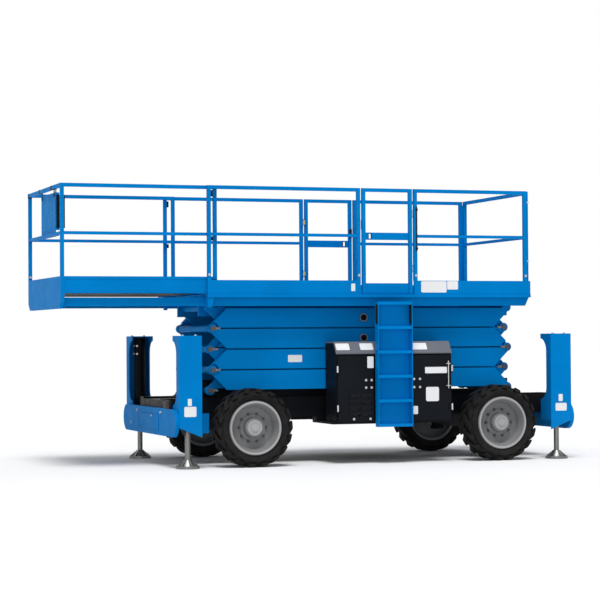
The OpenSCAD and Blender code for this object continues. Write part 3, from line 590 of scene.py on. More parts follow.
def ring(name, profile, sides):
    """Closed ring about +Z from an outline of (radius, height) points, drawn out loop by loop."""
    clear_pick()
    radius, height = profile[0]
    bpy.ops.mesh.primitive_circle_add(
        vertices=sides, radius=radius, fill_type="NOTHING", location=(0, 0, height))
    piece = bpy.context.active_object
    bpy.ops.object.transform_apply(location=True, rotation=True, scale=True)
    bpy.ops.object.mode_set(mode="EDIT")
    bpy.ops.mesh.select_mode(type="EDGE")
    bpy.ops.mesh.select_all(action="SELECT")
    for next_radius, next_height in (*profile[1:], profile[0]):
        bpy.ops.mesh.extrude_edges_move(TRANSFORM_OT_translate={"value": (0, 0, next_height - height)})
        factor = next_radius / radius
        bpy.ops.transform.resize(value=(factor, factor, 1), center_override=(0, 0, 0))
        radius, height = next_radius, next_height
    bpy.ops.mesh.select_all(action="SELECT")
    bpy.ops.mesh.remove_doubles(threshold=WELD)
    bpy.ops.mesh.normals_make_consistent(inside=False)
    bpy.ops.object.mode_set(mode="OBJECT")
    return named(piece, name)


def join(pieces, name):
    """One piece from several."""
    clear_pick()
    for piece in pieces:
        piece.select_set(True)
    bpy.context.view_layer.objects.active = pieces[0]
    if len(pieces) > 1:
        bpy.ops.object.join()
    return named(bpy.context.view_layer.objects.active, name)


def turn_to(towards):
    """Turn that takes +Z to a direction."""
    return Vector(UP).rotation_difference(Vector(towards)).to_matrix().to_4x4()


def spread(pattern, name, spots):
    """Copies of a pattern at (place, direction) spots, joined to one piece; the pattern is removed."""
    copies = []
    for place, towards in spots:
        copy = pattern.copy()
        copy.data = pattern.data.copy()
        bpy.context.scene.collection.objects.link(copy)
        copy.data.transform(Matrix.Translation(place) @ turn_to(towards))
        copies.append(copy)
    bpy.data.objects.remove(pattern)
    return join(copies, name)


def done(piece, finish, body):
    """Material, smooth faces and body of a finished piece."""
    piece.data.materials.clear()
    piece.data.materials.append(bpy.data.materials[finish])
    make_active(piece)
    bpy.ops.object.shade_smooth_by_angle(angle=SMOOTH_ANGLE)
    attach(piece, body)
    clear_pick()


# Fittings that several groups share


def turned(kind, name, spots):
    """Turned fittings of a kind at (place, direction) spots, as one piece."""
    return spread(stud(kind, *TURNED[kind]), name, spots)


def bolt(radius):
    """Hexagon head on a washer, along +Z from the origin."""
    parts = []
    for part, (wide, high, sides, inset, rise) in BOLT_PARTS.items():
        parts.append(stud(part, radius * wide, radius * high, sides, [(radius * inset, radius * rise)]))
    return join(parts, "bolt")


def bolts(name, radius, spots, body):
    """Bright bolts at (place, direction) spots, as one finished piece."""
    done(spread(bolt(radius), name, spots), "Bright steel", body)


def rod(name, start, end, radius, sides=16):
    """Round bar from start to end with both edges drawn in."""
    start, end = Vector(start), Vector(end)
    edge = radius * ROD_TIP
    piece = stud(name, radius, (end - start).length - 2 * edge, sides, [(edge, edge)])
    draw_out(piece, DOWN, [(edge, edge)])
    piece.data.transform(Matrix.Translation((0, 0, edge)))
    return spread(piece, name, [(start, end - start)])


def sleeves(name, body, lows, knuckle, radius, finish):
    """Sleeves over the hinge knuckles of a door or a gate, about its joint's axis."""
    axis = pivot(body)
    rods = []
    for low in lows:
        start = (axis.x, axis.y, low + SLEEVE_GAP)
        end = (axis.x, axis.y, low + knuckle - SLEEVE_GAP)
        rods.append(rod("sleeve", start, end, radius, SLEEVE_SIDES))
    done(join(rods, name), finish, body)


def wall_turn(way):
    """Turn of a plate that lies flat onto a side of the machine: its height goes up, its face out."""
    upright = Matrix.Rotation(math.radians(90), 4, "X")
    return upright if way < 0 else Matrix.Rotation(math.radians(180), 4, "Z") @ upright


def plate(name, size, place, turn, border=PLATE_BORDER):
    """Plate with round corners and a raised rim, its back on a place, its face along the turned +Z."""
    width, height, thickness = size
    shorter = min(width, height)
    piece = block(name, (-width / 2, -height / 2, 0), (width / 2, height / 2, thickness))
    pick(piece, "EDGE", lambda edge: edge.verts[0].co.xy == edge.verts[1].co.xy)
    bpy.ops.mesh.bevel(offset=shorter * PLATE_CORNER, segments=PLATE_CORNER_SEGMENTS)
    bpy.ops.object.mode_set(mode="OBJECT")
    rim = min(border, shorter * PLATE_BORDER_MOST)
    draw_out(piece, UP, [(rim, 0), (PLATE_RIM_SLOPE, -thickness * PLATE_SUNK)])
    piece.data.transform(Matrix.Translation(place) @ turn)
    return piece


def near_plates(name, body, face, rows, thickness):
    """Blank plates on the near side, as one finished piece; a row is the edges in X and in Z."""
    pieces = []
    for x0, x1, z0, z1 in rows:
        place = at((x0 + x1) / 2, -face, (z0 + z1) / 2)
        pieces.append(plate("plate", (x1 - x0, z1 - z0, thickness), place, wall_turn(-1)))
    done(join(pieces, name), "Plate white", body)


# Finishes


def new_finish(name):
    """New material: its node tree, its shader and its Object coordinates."""
    material = bpy.data.materials.new(name)
    material.use_nodes = True
    tree = material.node_tree
    coords = tree.nodes.new("ShaderNodeTexCoord")
    return tree, tree.nodes["Principled BSDF"], coords.outputs["Object"]


def noise(tree, coords, scale, detail, stretch=None):
    """Noise value at a scale, along stretched axes where given."""
    if stretch:
        mapping = tree.nodes.new("ShaderNodeMapping")
        mapping.inputs["Scale"].default_value = stretch
        tree.links.new(coords, mapping.inputs["Vector"])
        coords = mapping.outputs["Vector"]
    node = tree.nodes.new("ShaderNodeTexNoise")
    node.inputs["Scale"].default_value = scale
    node.inputs["Detail"].default_value = detail
    tree.links.new(coords, node.inputs["Vector"])
    return node.outputs["Fac"]


def ramp(tree, value, low=0.0, high=1.0, start=0.3, end=0.7):
    """Value stretched from start..end to low..high."""
    node = tree.nodes.new("ShaderNodeMapRange")
    node.inputs["From Min"].default_value = start
    node.inputs["From Max"].default_value = end
    node.inputs["To Min"].default_value = low
    node.inputs["To Max"].default_value = high
    tree.links.new(value, node.inputs["Value"])
    return node.outputs["Result"]


def blend_colours(tree, factor, colours):
    """Colour between two colours or colour sockets."""
    node = tree.nodes.new("ShaderNodeMix")
    node.data_type = "RGBA"
    tree.links.new(factor, node.inputs["Factor"])
    for index, colour in zip(MIX_COLOURS, colours):
        if isinstance(colour, bpy.types.NodeSocket):
            tree.links.new(colour, node.inputs[index])
        else:
            node.inputs[index].default_value = (*colour, 1)
    return node.outputs[MIX_RESULT]


def combine(tree, operation, first, second):
    """Two values put together by a math node."""
    node = tree.nodes.new("ShaderNodeMath")
    node.operation = operation
    tree.links.new(first, node.inputs[0])
    tree.links.new(second, node.inputs[1])
    return node.outputs[0]


def bumps(tree, shader, height, strength, distance):
    """Fine relief on a shader."""
    node = tree.nodes.new("ShaderNodeBump")
    node.inputs["Strength"].default_value = strength
    node.inputs["Distance"].default_value = distance
    tree.links.new(height, node.inputs["Height"])
    tree.links.new(node.outputs["Normal"], shader.inputs["Normal"])


def dusted(tree, coords, colour, dust, top, most):
    """Colour with dust that thins out from the ground up to a height."""
    parts = tree.nodes.new("ShaderNodeSeparateXYZ")
    tree.links.new(coords, parts.inputs["Vector"])
    height = ramp(tree, parts.outputs["Z"], low=most, high=0.0, start=0.0, end=top)
    patches = ramp(tree, noise(tree, coords, scale=5.0, detail=6.0), low=0.15, start=0.35)
    return blend_colours(tree, combine(tree, "MULTIPLY", height, patches), (colour, dust))


def shades(colour, low, high):
    """Darker and lighter shade of a colour."""
    return [[min(1.0, part * factor) for part in colour] for factor in (low, high)]


def paint_finish(name, colour, dust, rough, peel, dust_top, dust_most, gloss, drift):
    """Sprayed paint: slow shade drift, orange peel, uneven gloss and dust near the ground."""
    tree, shader, coords = new_finish(name)
    clouds = ramp(tree, noise(tree, coords, scale=1.7, detail=3.0))
    coat = blend_colours(tree, clouds, shades(colour, 1 - drift, 1 + drift))
    tree.links.new(dusted(tree, coords, coat, dust, dust_top, dust_most), shader.inputs["Base Color"])
    wear = ramp(tree, noise(tree, coords, scale=9.0, detail=5.0), low=rough - 0.06, high=rough + 0.08)
    tree.links.new(wear, shader.inputs["Roughness"])
    bumps(tree, shader, noise(tree, coords, scale=peel, detail=2.0), strength=0.12, distance=0.0006)
    shader.inputs["Specular IOR Level"].default_value = gloss


def rubber_finish(name, colour, dust):
    """Tyre rubber: fine grain, dull, dusty in patches."""
    tree, shader, coords = new_finish(name)
    clouds = ramp(tree, noise(tree, coords, scale=14.0, detail=6.0))
    coat = blend_colours(tree, clouds, shades(colour, low=0.7, high=1.6))
    tree.links.new(dusted(tree, coords, coat, dust, top=0.95, most=0.05), shader.inputs["Base Color"])
    wear = ramp(tree, noise(tree, coords, scale=22.0, detail=4.0), low=0.62, high=0.85)
    tree.links.new(wear, shader.inputs["Roughness"])
    bumps(tree, shader, noise(tree, coords, scale=420.0, detail=3.0), strength=0.25, distance=0.0008)
    shader.inputs["Specular IOR Level"].default_value = 0.12


def metal_finish(name, colour, rough, stretch):
    """Bare metal with drawn lines along one way."""
    tree, shader, coords = new_finish(name)
    lines = noise(tree, coords, scale=60.0, detail=5.0, stretch=stretch)
    tone = blend_colours(tree, ramp(tree, lines), shades(colour, low=0.8, high=1.15))
    tree.links.new(tone, shader.inputs["Base Color"])
    wear = ramp(tree, noise(tree, coords, scale=30.0, detail=4.0), low=rough - 0.08, high=rough + 0.12)
    tree.links.new(wear, shader.inputs["Roughness"])
    bumps(tree, shader, lines, strength=0.08, distance=0.0004)
    shader.inputs["Metallic"].default_value = 1.0


class LIFT_OT_finishes(bpy.types.Operator):
    """Makes the finishes and gives each CAD node the one of its slot"""
    bl_idname = "lift.finishes"
    bl_label = "Finishes"

    def execute(self, context):
        paint = context.scene.lift_paint
        dust = tuple(paint.dust)
        for name, (colour, *looks) in PAINTS.items():
            paint_finish(name, getattr(paint, colour), dust, *looks)
        rubber_finish("Tyre rubber", paint.rubber, dust)
        for name, (colour, rough, stretch) in METALS.items():
            metal_finish(name, getattr(paint, colour), rough, stretch)
        slots = {row["node"]: row["material_slot"] for row in frame["record"]["subparts"]}
        for name, node in frame["nodes"].items():
            finish = NODE_FINISH.get(name, SLOT_FINISHES[slots[name]][0])
            for place in node.material_slots:
                place.material = bpy.data.materials[finish]
        return {"FINISHED"}


# Stage


class LIFT_OT_stage(bpy.types.Operator):
    """Sets the floor, the light and the camera"""
    bl_idname = "lift.stage"
    bl_label = "Stage"

    def execute(self, context):
        scene = context.scene
        stage = scene.lift_stage
        scene.view_settings.view_transform = "Standard"
        self.room(scene, stage.sky)
        self.floor()
        for name, setting, along, angle in LIGHTS:
            self.soft_light(scene, name, getattr(stage, setting), along, angle)
        self.camera(scene, stage)
        return {"FINISHED"}

    def room(self, scene, strength):
        """White room: white to the camera and in reflections, softer as light."""
        world = bpy.data.worlds.new("White room")
        world.use_nodes = True
        tree = world.node_tree
        path = tree.nodes.new("ShaderNodeLightPath")
        seen = path.outputs[WHITE_RAYS[0]]
        for ray in WHITE_RAYS[1:]:
            seen = combine(tree, "MAXIMUM", seen, path.outputs[ray])
        level = ramp(tree, seen, low=strength, high=1.0, start=0.0, end=1.0)
        background = tree.nodes["Background"]
        background.inputs["Color"].default_value = (1, 1, 1, 1)
        tree.links.new(level, background.inputs["Strength"])
        scene.world = world

    def floor(self):
        """Pale studio floor."""
        clear_pick()
        bpy.ops.mesh.primitive_plane_add(size=FLOOR_SIZE, location=(0, 0, 0))
        floor = named(bpy.context.active_object, "studio_floor")
        tree, shader, coords = new_finish("Studio floor")
        clouds = ramp(tree, noise(tree, coords, scale=0.8, detail=2.0))
        tree.links.new(blend_colours(tree, clouds, FLOOR_TONES), shader.inputs["Base Color"])
        shader.inputs["Roughness"].default_value = 0.9
        shader.inputs["Specular IOR Level"].default_value = 0.0
        floor.data.materials.append(bpy.data.materials["Studio floor"])

    def soft_light(self, scene, name, strength, along, angle):
        """Broad soft light that shines along a direction."""
        lamp = bpy.data.lights.new(name, "SUN")
        lamp.energy = strength
        lamp.angle = math.radians(angle)
        light = bpy.data.objects.new(name, lamp)
        light.rotation_euler = Vector(along).to_track_quat("-Z", "Y").to_euler()
        scene.collection.objects.link(light)

    def camera(self, scene, stage):
        """Camera of the photograph's view."""
        forward = Vector((
            math.sin(stage.yaw) * math.cos(stage.pitch),
            math.cos(stage.yaw) * math.cos(stage.pitch),
            math.sin(stage.pitch)))
        level = Vector((math.cos(stage.yaw), -math.sin(stage.yaw), 0))
        upright = level.cross(forward)
        right = level * math.cos(stage.roll) + upright * math.sin(stage.roll)
        up = upright * math.cos(stage.roll) - level * math.sin(stage.roll)
        lens = bpy.data.cameras.new("View")
        lens.sensor_fit = "HORIZONTAL"
        lens.sensor_width = SENSOR_WIDTH
        lens.lens = stage.lens
        lens.clip_end = VIEW_END
        camera = bpy.data.objects.new("View", lens)
        turn = Matrix((right, up, -forward)).transposed().to_4x4()
        camera.matrix_world = Matrix.Translation(Vector(stage.camera_place)) @ turn
        scene.collection.objects.link(camera)
        scene.camera = camera


# Pieces


class LIFT_OT_wheel_fittings(bpy.types.Operator):
    """Adds the nuts, the hub caps and the rim lips of the wheels"""
    bl_idname = "lift.wheel_fittings"
    bl_label = "Wheel fittings"

    def execute(self, context):
        fittings = context.scene.lift_fittings
        for axle in AXLES:
            for side, way in SIDES.items():
                self.wheel(f"{axle}_{side}", way, fittings.nut_count, fittings.nut_circle)
        return {"FINISHED"}

    def wheel(self, corner, way, count, circle):
        """Ring of nuts, cap and lip of one wheel."""
        body = f"wheel_{corner}"
        hub = middle(f"rim_{corner}")
        out = (0, way, 0)
        nuts = []
        for k in range(count):
            turn = 2 * math.pi * k / count
            x, z = hub.x + circle * math.cos(turn), hub.z + circle * math.sin(turn)
            nuts.append((Vector((x, way * NUT_FACE, z)), out))
        done(turned("wheel_nut", f"wheel_nuts_{corner}", nuts), "Dark steel", body)
        cap = [(Vector((hub.x, way * CAP_FACE, hub.z)), out)]
        done(turned("wheel_cap", f"hub_cap_{corner}", cap), "Pale wheel paint", body)
        lip = [(Vector((hub.x, way * LIP_FACE, hub.z)), out)]
        pattern = ring("lip", LIP_OUTLINE, LIP_SIDES)
        done(spread(pattern, f"rim_lip_{corner}", lip), "Pale wheel paint", body)


class LIFT_OT_arm_pins(bpy.types.Operator):
    """Adds the pin ends, their keepers and the middle bushes of the scissor arms"""
    bl_idname = "lift.arm_pins"
    bl_label = "Arm pins"

    def execute(self, context):
        for level, joint in enumerate(LEVEL_JOINTS, 1):
            place = pivot(joint)
            cross = pivot(f"cross_{level}")
            self.pin_ends(f"inner_arms_{level}", place.x, place.z, INNER_FACE, cross.x)
            self.pin_ends(f"outer_arms_{level}", 2 * cross.x - place.x, place.z, OUTER_PIN_FACE, cross.x)
            self.bushes(level, cross)
        return {"FINISHED"}

    def spots(self, x, z, face):
        """Spots on both outer faces of a pair of arms."""
        return [(Vector((x, way * face, z)), (0, way, 0)) for way in SIDES.values()]

    def pin_ends(self, body, x, z, face, middle_x):
        """Dark pin ends with a bolted keeper on both sides."""
        inward = 1 if x < middle_x else -1
        done(turned("arm_pin", f"{body}_pin_ends", self.spots(x, z, face)), "Dark steel", body)
        keepers = []
        for way in SIDES.values():
            place = (x + inward * KEEPER_SHIFT, way * (face - SINK), z)
            keepers.append(plate("keeper", KEEPER_SIZE, place, wall_turn(way)))
            place = Vector((x + inward * KEEPER_BOLT_SHIFT, way * (face + KEEPER_BOLT_SEAT), z))
            keepers.append(spread(bolt(SMALL_BOLT), "keeper_bolt", [(place, (0, way, 0))]))
        done(join(keepers, f"{body}_pin_keepers"), "Leg steel", body)

    def bushes(self, level, cross):
        """Rings and dark pin ends of a level's middle joint."""
        body = f"outer_arms_{level}"
        spots = self.spots(cross.x, cross.z, BUSH_FACE)
        done(turned("bush_ring", f"middle_rings_{level}", spots), "Grey wheel paint", body)
        done(turned("bush_pin", f"middle_pin_ends_{level}", spots), "Chassis black", body)


class LIFT_OT_blank_plates(bpy.types.Operator):
    """Adds the blank plates of the toe boards, the outriggers and an arm"""
    bl_idname = "lift.blank_plates"
    bl_label = "Blank plates"

    def execute(self, context):
        thickness = context.scene.lift_fittings.plate_thickness
        near_plates("toe_board_plates", "platform", TOE_FACE, TOE_PLATES, thickness)
        near_plates("outrigger_plates", "chassis", HOUSING_FACE, HOUSING_PLATES, thickness)
        near_plates("arm_plates", "outer_arms_2", OUTER_FACE, ARM_PLATES, thickness)
        return {"FINISHED"}


class LIFT_OT_door_fittings(bpy.types.Operator):
    """Adds the hinge sleeves, bolts, stays and blank plates of the boxes and their doors"""
    bl_idname = "lift.door_fittings"
    bl_label = "Door fittings"

    def execute(self, context):
        fittings = context.scene.lift_fittings
        thickness = fittings.plate_thickness
        for side, way in SIDES.items():
            for end, places in DOOR_BOLTS.items():
                body = f"door_{end}_{side}"
                spots = [(at(x, way * DOOR_FACE, z), (0, way, 0)) for x, z in places]
                bolts(f"door_bolts_{end}_{side}", fittings.bolt_radius, spots, body)
                if side == "near":
                    near_plates(f"door_plates_{end}_near", body, DOOR_FACE, DOOR_PLATES[end], thickness)
            for end in ENDS:
                name = f"hinge_sleeves_{end}_{side}"
                body = f"door_{end}_{side}"
                sleeves(name, body, DOOR_HINGE_LOWS, DOOR_KNUCKLE, DOOR_SLEEVE_RADIUS, "Bright steel")
            self.stay(side, way)
        self.top_plates(thickness)
        return {"FINISHED"}

    def stay(self, side, way):
        """Long rod in two eyes on the right door."""
        y = way * (DOOR_FACE + STAY_OFF)
        back, front = way * (DOOR_FACE - EYE_SINK), way * (DOOR_FACE + EYE_REACH)
        left, right = STAY_X - EYE_BAR_HALF, STAY_X + EYE_BAR_HALF
        parts = [rod("stay", at(STAY_X, y, STAY_LOW), at(STAY_X, y, STAY_HIGH), STAY_RADIUS)]
        for z in (STAY_LOW + EYE_IN, STAY_HIGH - EYE_IN):
            parts.append(rod("eye", at(STAY_X, back, z), at(STAY_X, front, z), EYE_RADIUS))
            parts.append(rod("eye_bar", at(left, y, z), at(right, y, z), EYE_BAR_RADIUS))
        done(join(parts, f"door_stay_{side}"), "Bright steel", f"door_right_{side}")

    def top_plates(self, thickness):
        """Blank plates on the sloped front edge of the near box tops."""
        turn = Matrix.Rotation(math.atan2(SLOPE_RISE, SLOPE_DEPTH), 4, "X")
        y = SLOPE_DEPTH / 2 - SLOPE_FRONT
        z = SLOPE_LOW + SLOPE_RISE / 2 + SLOPE_SKIN
        plates = []
        for x0, x1 in TOP_PLATES:
            size = (x1 - x0, TOP_PLATE_HEIGHT, thickness)
            plates.append(plate("plate", size, at((x0 + x1) / 2, y, z), turn))
        done(join(plates, "box_top_plates_near"), "Plate white", "chassis")


class LIFT_OT_ladder_grips(bpy.types.Operator):
    """Adds the studded grip strips on the ladders' steps and the liners of the hand holds"""
    bl_idname = "lift.ladder_grips"
    bl_label = "Ladder grips"

    def execute(self, context):
        for side, way in SIDES.items():
            low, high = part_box(f"ladder_{side}")
            face = high.y if way > 0 else low.y
            strips = []
            for step in range(STEP_COUNT):
                z = STEP_FIRST + step * (STEP_TOP - STEP_FIRST) / (STEP_COUNT - 1)
                strips += self.grip(low.x, high.x, face, way, z)
            done(join(strips, f"step_grips_{side}"), "Blue enamel", "chassis")
            holds = [self.hold_liner(x, face - way * HOLD_IN) for x in (low.x, high.x - CHEEK)]
            done(join(holds, f"hand_hold_liners_{side}"), "Black plastic", "chassis")
        return {"FINISHED"}

    def grip(self, left, right, face, way, z):
        """Strip with rows of raised dimples along a step's front edge."""
        y0, y1 = sorted((face, face - way * STRIP_DEPTH))
        strip = block("strip", (left + STRIP_IN, y0, z - SINK), (right - STRIP_IN, y1, z + STRIP_RISE))
        round_edges(strip, STRIP_EDGE)
        pitch = (right - left - 2 * DIMPLE_END) / (DIMPLE_COLUMNS - 1)
        spots = []
        for column in range(DIMPLE_COLUMNS):
            x = left + DIMPLE_END + column * pitch
            for row in range(DIMPLE_ROWS):
                y = face - way * (DIMPLE_FRONT + DIMPLE_PITCH * row)
                spots.append((Vector((x, y, z + DIMPLE_SEAT)), UP))
        return [strip, turned("dimple", "dimples", spots)]

    def hold_liner(self, x, y):
        """Black liner through a cheek's hand hold: a ring drawn out upwards and downwards."""
        liner = ring("liner", HOLD_OUTLINE, HOLD_SIDES)
        liner.data.transform(Matrix.Rotation(math.pi / HOLD_SIDES, 4, "Z"))
        for way in (1, -1):
            pick(liner, "VERT", lambda vert: vert.co.y * way > 0)
            bpy.ops.transform.translate(value=(0, way * HOLD_STRETCH, 0))
            bpy.ops.object.mode_set(mode="OBJECT")
        onto_cheek = Matrix(((0, 0, 1, 0), (1, 0, 0, 0), (0, 1, 0, 0), (0, 0, 0, 1)))
        liner.data.transform(Matrix.Translation((x, y, HOLD_Z)) @ onto_cheek)
        return liner


class LIFT_OT_rail_fittings(bpy.types.Operator):
    """Adds the gate fittings, the post bolts, the corner pins and the pads of the rails"""
    bl_idname = "lift.rail_fittings"
    bl_label = "Rail fittings"

    def execute(self, context):
        radius = context.scene.lift_fittings.bolt_radius
        for side, way in SIDES.items():
            self.gate(side, way)
            self.slot_liner(side, way)
            self.corner_pins(side, way)
            self.pads(side, way)
            spots = [(at(x, way * TOE_FACE, POST_BOLT_Z), (0, way, 0)) for x in POSTS[side]]
            bolts(f"post_bolts_{side}", radius, spots, "platform")
            y = way * EXTENSION_POST_INNER
            spots = [(at(x, y, EXTENSION_BOLT_Z), (0, -way, 0)) for x in EXTENSION_POSTS]
            bolts(f"extension_bolts_{side}", radius, spots, "extension")
        self.gate_bar()
        return {"FINISHED"}

    def gate(self, side, way):
        """Brass hinge sleeves and a black latch on a gate."""
        body = f"gate_{side}"
        sleeves(
            f"gate_sleeves_{side}", body, GATE_HINGE_LOWS, GATE_KNUCKLE, GATE_SLEEVE_RADIUS, "Hinge brass")
        low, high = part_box(body)
        hinge = pivot(body).x
        free = low.x + LATCH_IN if abs(high.x - hinge) < abs(low.x - hinge) else high.x - LATCH_IN
        y0, y1 = sorted((way * GATE_INNER, way * (GATE_INNER - LATCH_DEPTH)))
        corners = (free - LATCH_HALF, y0, LATCH_Z[0]), (free + LATCH_HALF, y1, LATCH_Z[1])
        case = block(f"gate_latch_{side}", *corners)
        draw_out(case, (0, -way, 0), LATCH_STEPS)
        done(round_edges(case, LATCH_EDGE), "Black plastic", body)

    def slot_liner(self, side, way):
        """Black liner through a gate's latch slot."""
        x = GATE_SLOT_X[side]
        half_width, half_height = (size / 2 for size in GATE_SLOT_SIZE)
        across = (x - half_width, x + half_width)
        up = (GATE_SLOT_Z - half_height, GATE_SLOT_Z + half_height)
        liner = side_block(f"gate_slot_{side}", way, across, GATE_SLOT_OUT, up)
        pick(liner, "FACE", lambda face: abs(face.normal.y) > FACING)
        bpy.ops.mesh.inset(thickness=GATE_SLOT_WALL, depth=0, use_individual=True)
        bpy.ops.mesh.bridge_edge_loops()
        bpy.ops.object.mode_set(mode="OBJECT")
        done(round_edges(liner, GATE_SLOT_EDGE), "Black plastic", f"gate_{side}")

    def corner_pins(self, side, way):
        """Tabs, pins and spacer that hold the end rail to the corner post."""
        inner, outer = (way * place for place in CORNER_PIN_OUT)
        tabs, pins = [], []
        for z in CORNER_LEVELS:
            tab = side_block("tab", way, TAB_X, TAB_OUT, (z - TAB_HALF, z + TAB_HALF))
            tabs.append(round_edges(tab, SHEET_EDGE))
            start, end = at(CORNER_PIN_X, inner, z), at(CORNER_PIN_X, outer, z)
            pins.append(rod("pin", start, end, CORNER_PIN_RADIUS, CORNER_PIN_SIDES))
            spot = (at(CORNER_PIN_X, way * TAB_OUT[1], z), (0, way, 0))
            pins.append(turned("pin_head", "pin_head", [spot]))
        spacer = side_block("spacer", way, SPACER_X, SPACER_OUT, SPACER_Z)
        tabs.append(round_edges(spacer, SHEET_EDGE))
        done(join(tabs, f"corner_tabs_{side}"), "Blue enamel", "platform")
        done(join(pins, f"corner_pins_{side}"), "Bright steel", "platform")

    def pads(self, side, way):
        """Rubber pads on the first post of the main deck."""
        pads = []
        for level in PAD_LEVELS:
            pad = side_block("pad", way, PAD_X, PAD_OUT, level)
            pads.append(round_edges(pad, PAD_EDGE, SOFT_SEGMENTS))
        done(join(pads, f"post_pads_{side}"), "Tyre rubber", "platform")

    def gate_bar(self):
        """Black bar in two clips on the near gate's hinge post."""
        y = -TOE_FACE - BAR_OFF
        parts = [rod("bar", at(BAR_X, y, BAR_Z[0]), at(BAR_X, y, BAR_Z[1]), BAR_RADIUS)]
        across = (BAR_X - CLIP_HALF, BAR_X + CLIP_HALF)
        out = (TOE_FACE - SINK, TOE_FACE + CLIP_REACH)
        for z in CLIP_LEVELS:
            clip = side_block("clip", -1, across, out, (z - CLIP_HALF, z + CLIP_HALF))
            parts.append(round_edges(clip, CLIP_EDGE))
        done(join(parts, "gate_post_bar"), "Black plastic", "platform")


class LIFT_OT_control_station(bpy.types.Operator):
    """Adds the controls on the control box, its side cover and the clamps of its shield"""
    bl_idname = "lift.control_station"
    bl_label = "Control station"

    def execute(self, context):
        low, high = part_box("control_box")
        self.panel(low, high)
        self.joystick(low, high)
        self.clamps()
        self.side_cover(low, high)
        return {"FINISHED"}

    def row(self, low, high, first, pitch, count, up):
        """Spots in a row across the box's face."""
        width = high.y - low.y
        z = low.z + PANEL_LEVEL * (high.z - low.z) + up
        return [(Vector((high.x, low.y + (first + pitch * k) * width, z)), (1, 0, 0)) for k in range(count)]

    def panel(self, low, high):
        """Panel on the box's face with a stop button, keys and toggles."""
        place = self.row(low, high, *PANEL_ROW)[0][0]
        size = ((high.y - low.y) * PANEL_WIDTH, (high.z - low.z) * PANEL_HEIGHT, PANEL_THICKNESS)
        turn = Matrix.Rotation(math.radians(90), 4, "Z") @ wall_turn(-1)
        done(plate("control_panel", size, place, turn, PANEL_BORDER), "Slate coat", "extension")
        button = turned("button", "stop_button", self.row(low, high, *BUTTON_ROW))
        done(button, "Red plastic", "extension")
        keys = turned("key", "control_keys", self.row(low, high, *KEY_ROW))
        done(keys, "Black plastic", "extension")
        toggles = []
        for place, front in self.row(low, high, *TOGGLE_ROW):
            toggles.append(turned("toggle_nut", "toggle_nut", [(place, front)]))
            start, end = place + TOGGLE_BASE, place + TOGGLE_TIP
            toggles.append(rod("toggle", start, end, TOGGLE_RADIUS, TOGGLE_SIDES))
        done(join(toggles, "control_toggles"), "Bright steel", "extension")

    def joystick(self, low, high):
        """Lever with a ribbed boot on the box's top."""
        place = Vector((low.x + LEVER_IN, low.y + LEVER_ACROSS * (high.y - low.y), high.z))
        boot = turned("boot", "boot", [(place, UP)])
        stick = turned("stick", "stick", [(place + STICK_BASE, UP)])
        done(join([boot, stick], "joystick"), "Black plastic", "extension")

    def clamps(self):
        """Black clamps between the end rail and the shield, and the cap on the far corner."""
        low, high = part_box("extension_rails")
        shield_low, shield_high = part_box("control_shield")
        left, right = low.x - CLAMP_WALL, low.x + RAIL_TUBE + CLAMP_WALL
        below, above = high.z - RAIL_TUBE - CLAMP_WALL, high.z + CLAMP_WALL
        strap_face = shield_low.x - CLAMP_WALL
        parts = []
        for y in (shield_low.y + CLAMP_IN, shield_high.y - CLAMP_IN):
            clamp = block("clamp", (left, y - CLAMP_HALF, below), (right, y + CLAMP_HALF, above))
            parts.append(round_edges(clamp, CLAMP_EDGE))
            strap_low = (strap_face, y - STRAP_HALF, shield_high.z - STRAP_DOWN)
            strap_high = (shield_low.x + STRAP_DEPTH, y + STRAP_HALF, high.z - STRAP_LAP)
            parts.append(round_edges(block("strap", strap_low, strap_high), SHEET_EDGE))
            spot = (Vector((strap_face, y, shield_high.z - STRAP_BOLT_DOWN)), (-1, 0, 0))
            parts.append(spread(bolt(SMALL_BOLT), "strap_bolt", [spot]))
        cap_low = (left, high.y - RAIL_TUBE - CLAMP_WALL, high.z - CORNER_CAP_DOWN)
        cap = block("cap", cap_low, (right, high.y + CLAMP_WALL, above))
        parts.append(round_edges(cap, CORNER_CAP_EDGE, SOFT_SEGMENTS))
        done(join(parts, "shield_clamps"), "Black plastic", "extension")

    def side_cover(self, low, high):
        """Dark cover over the near end of the box, on the shield's edge."""
        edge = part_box("control_shield")[0].y
        start = (low.x + COVER_IN, edge - COVER_THICKNESS, low.z)
        cover = block("control_side_cover", start, (high.x + COVER_PAST, edge + SINK, high.z))
        draw_out(cover, (0, -1, 0), COVER_STEPS)
        done(round_edges(cover, COVER_EDGE), "Dark box coat", "extension")


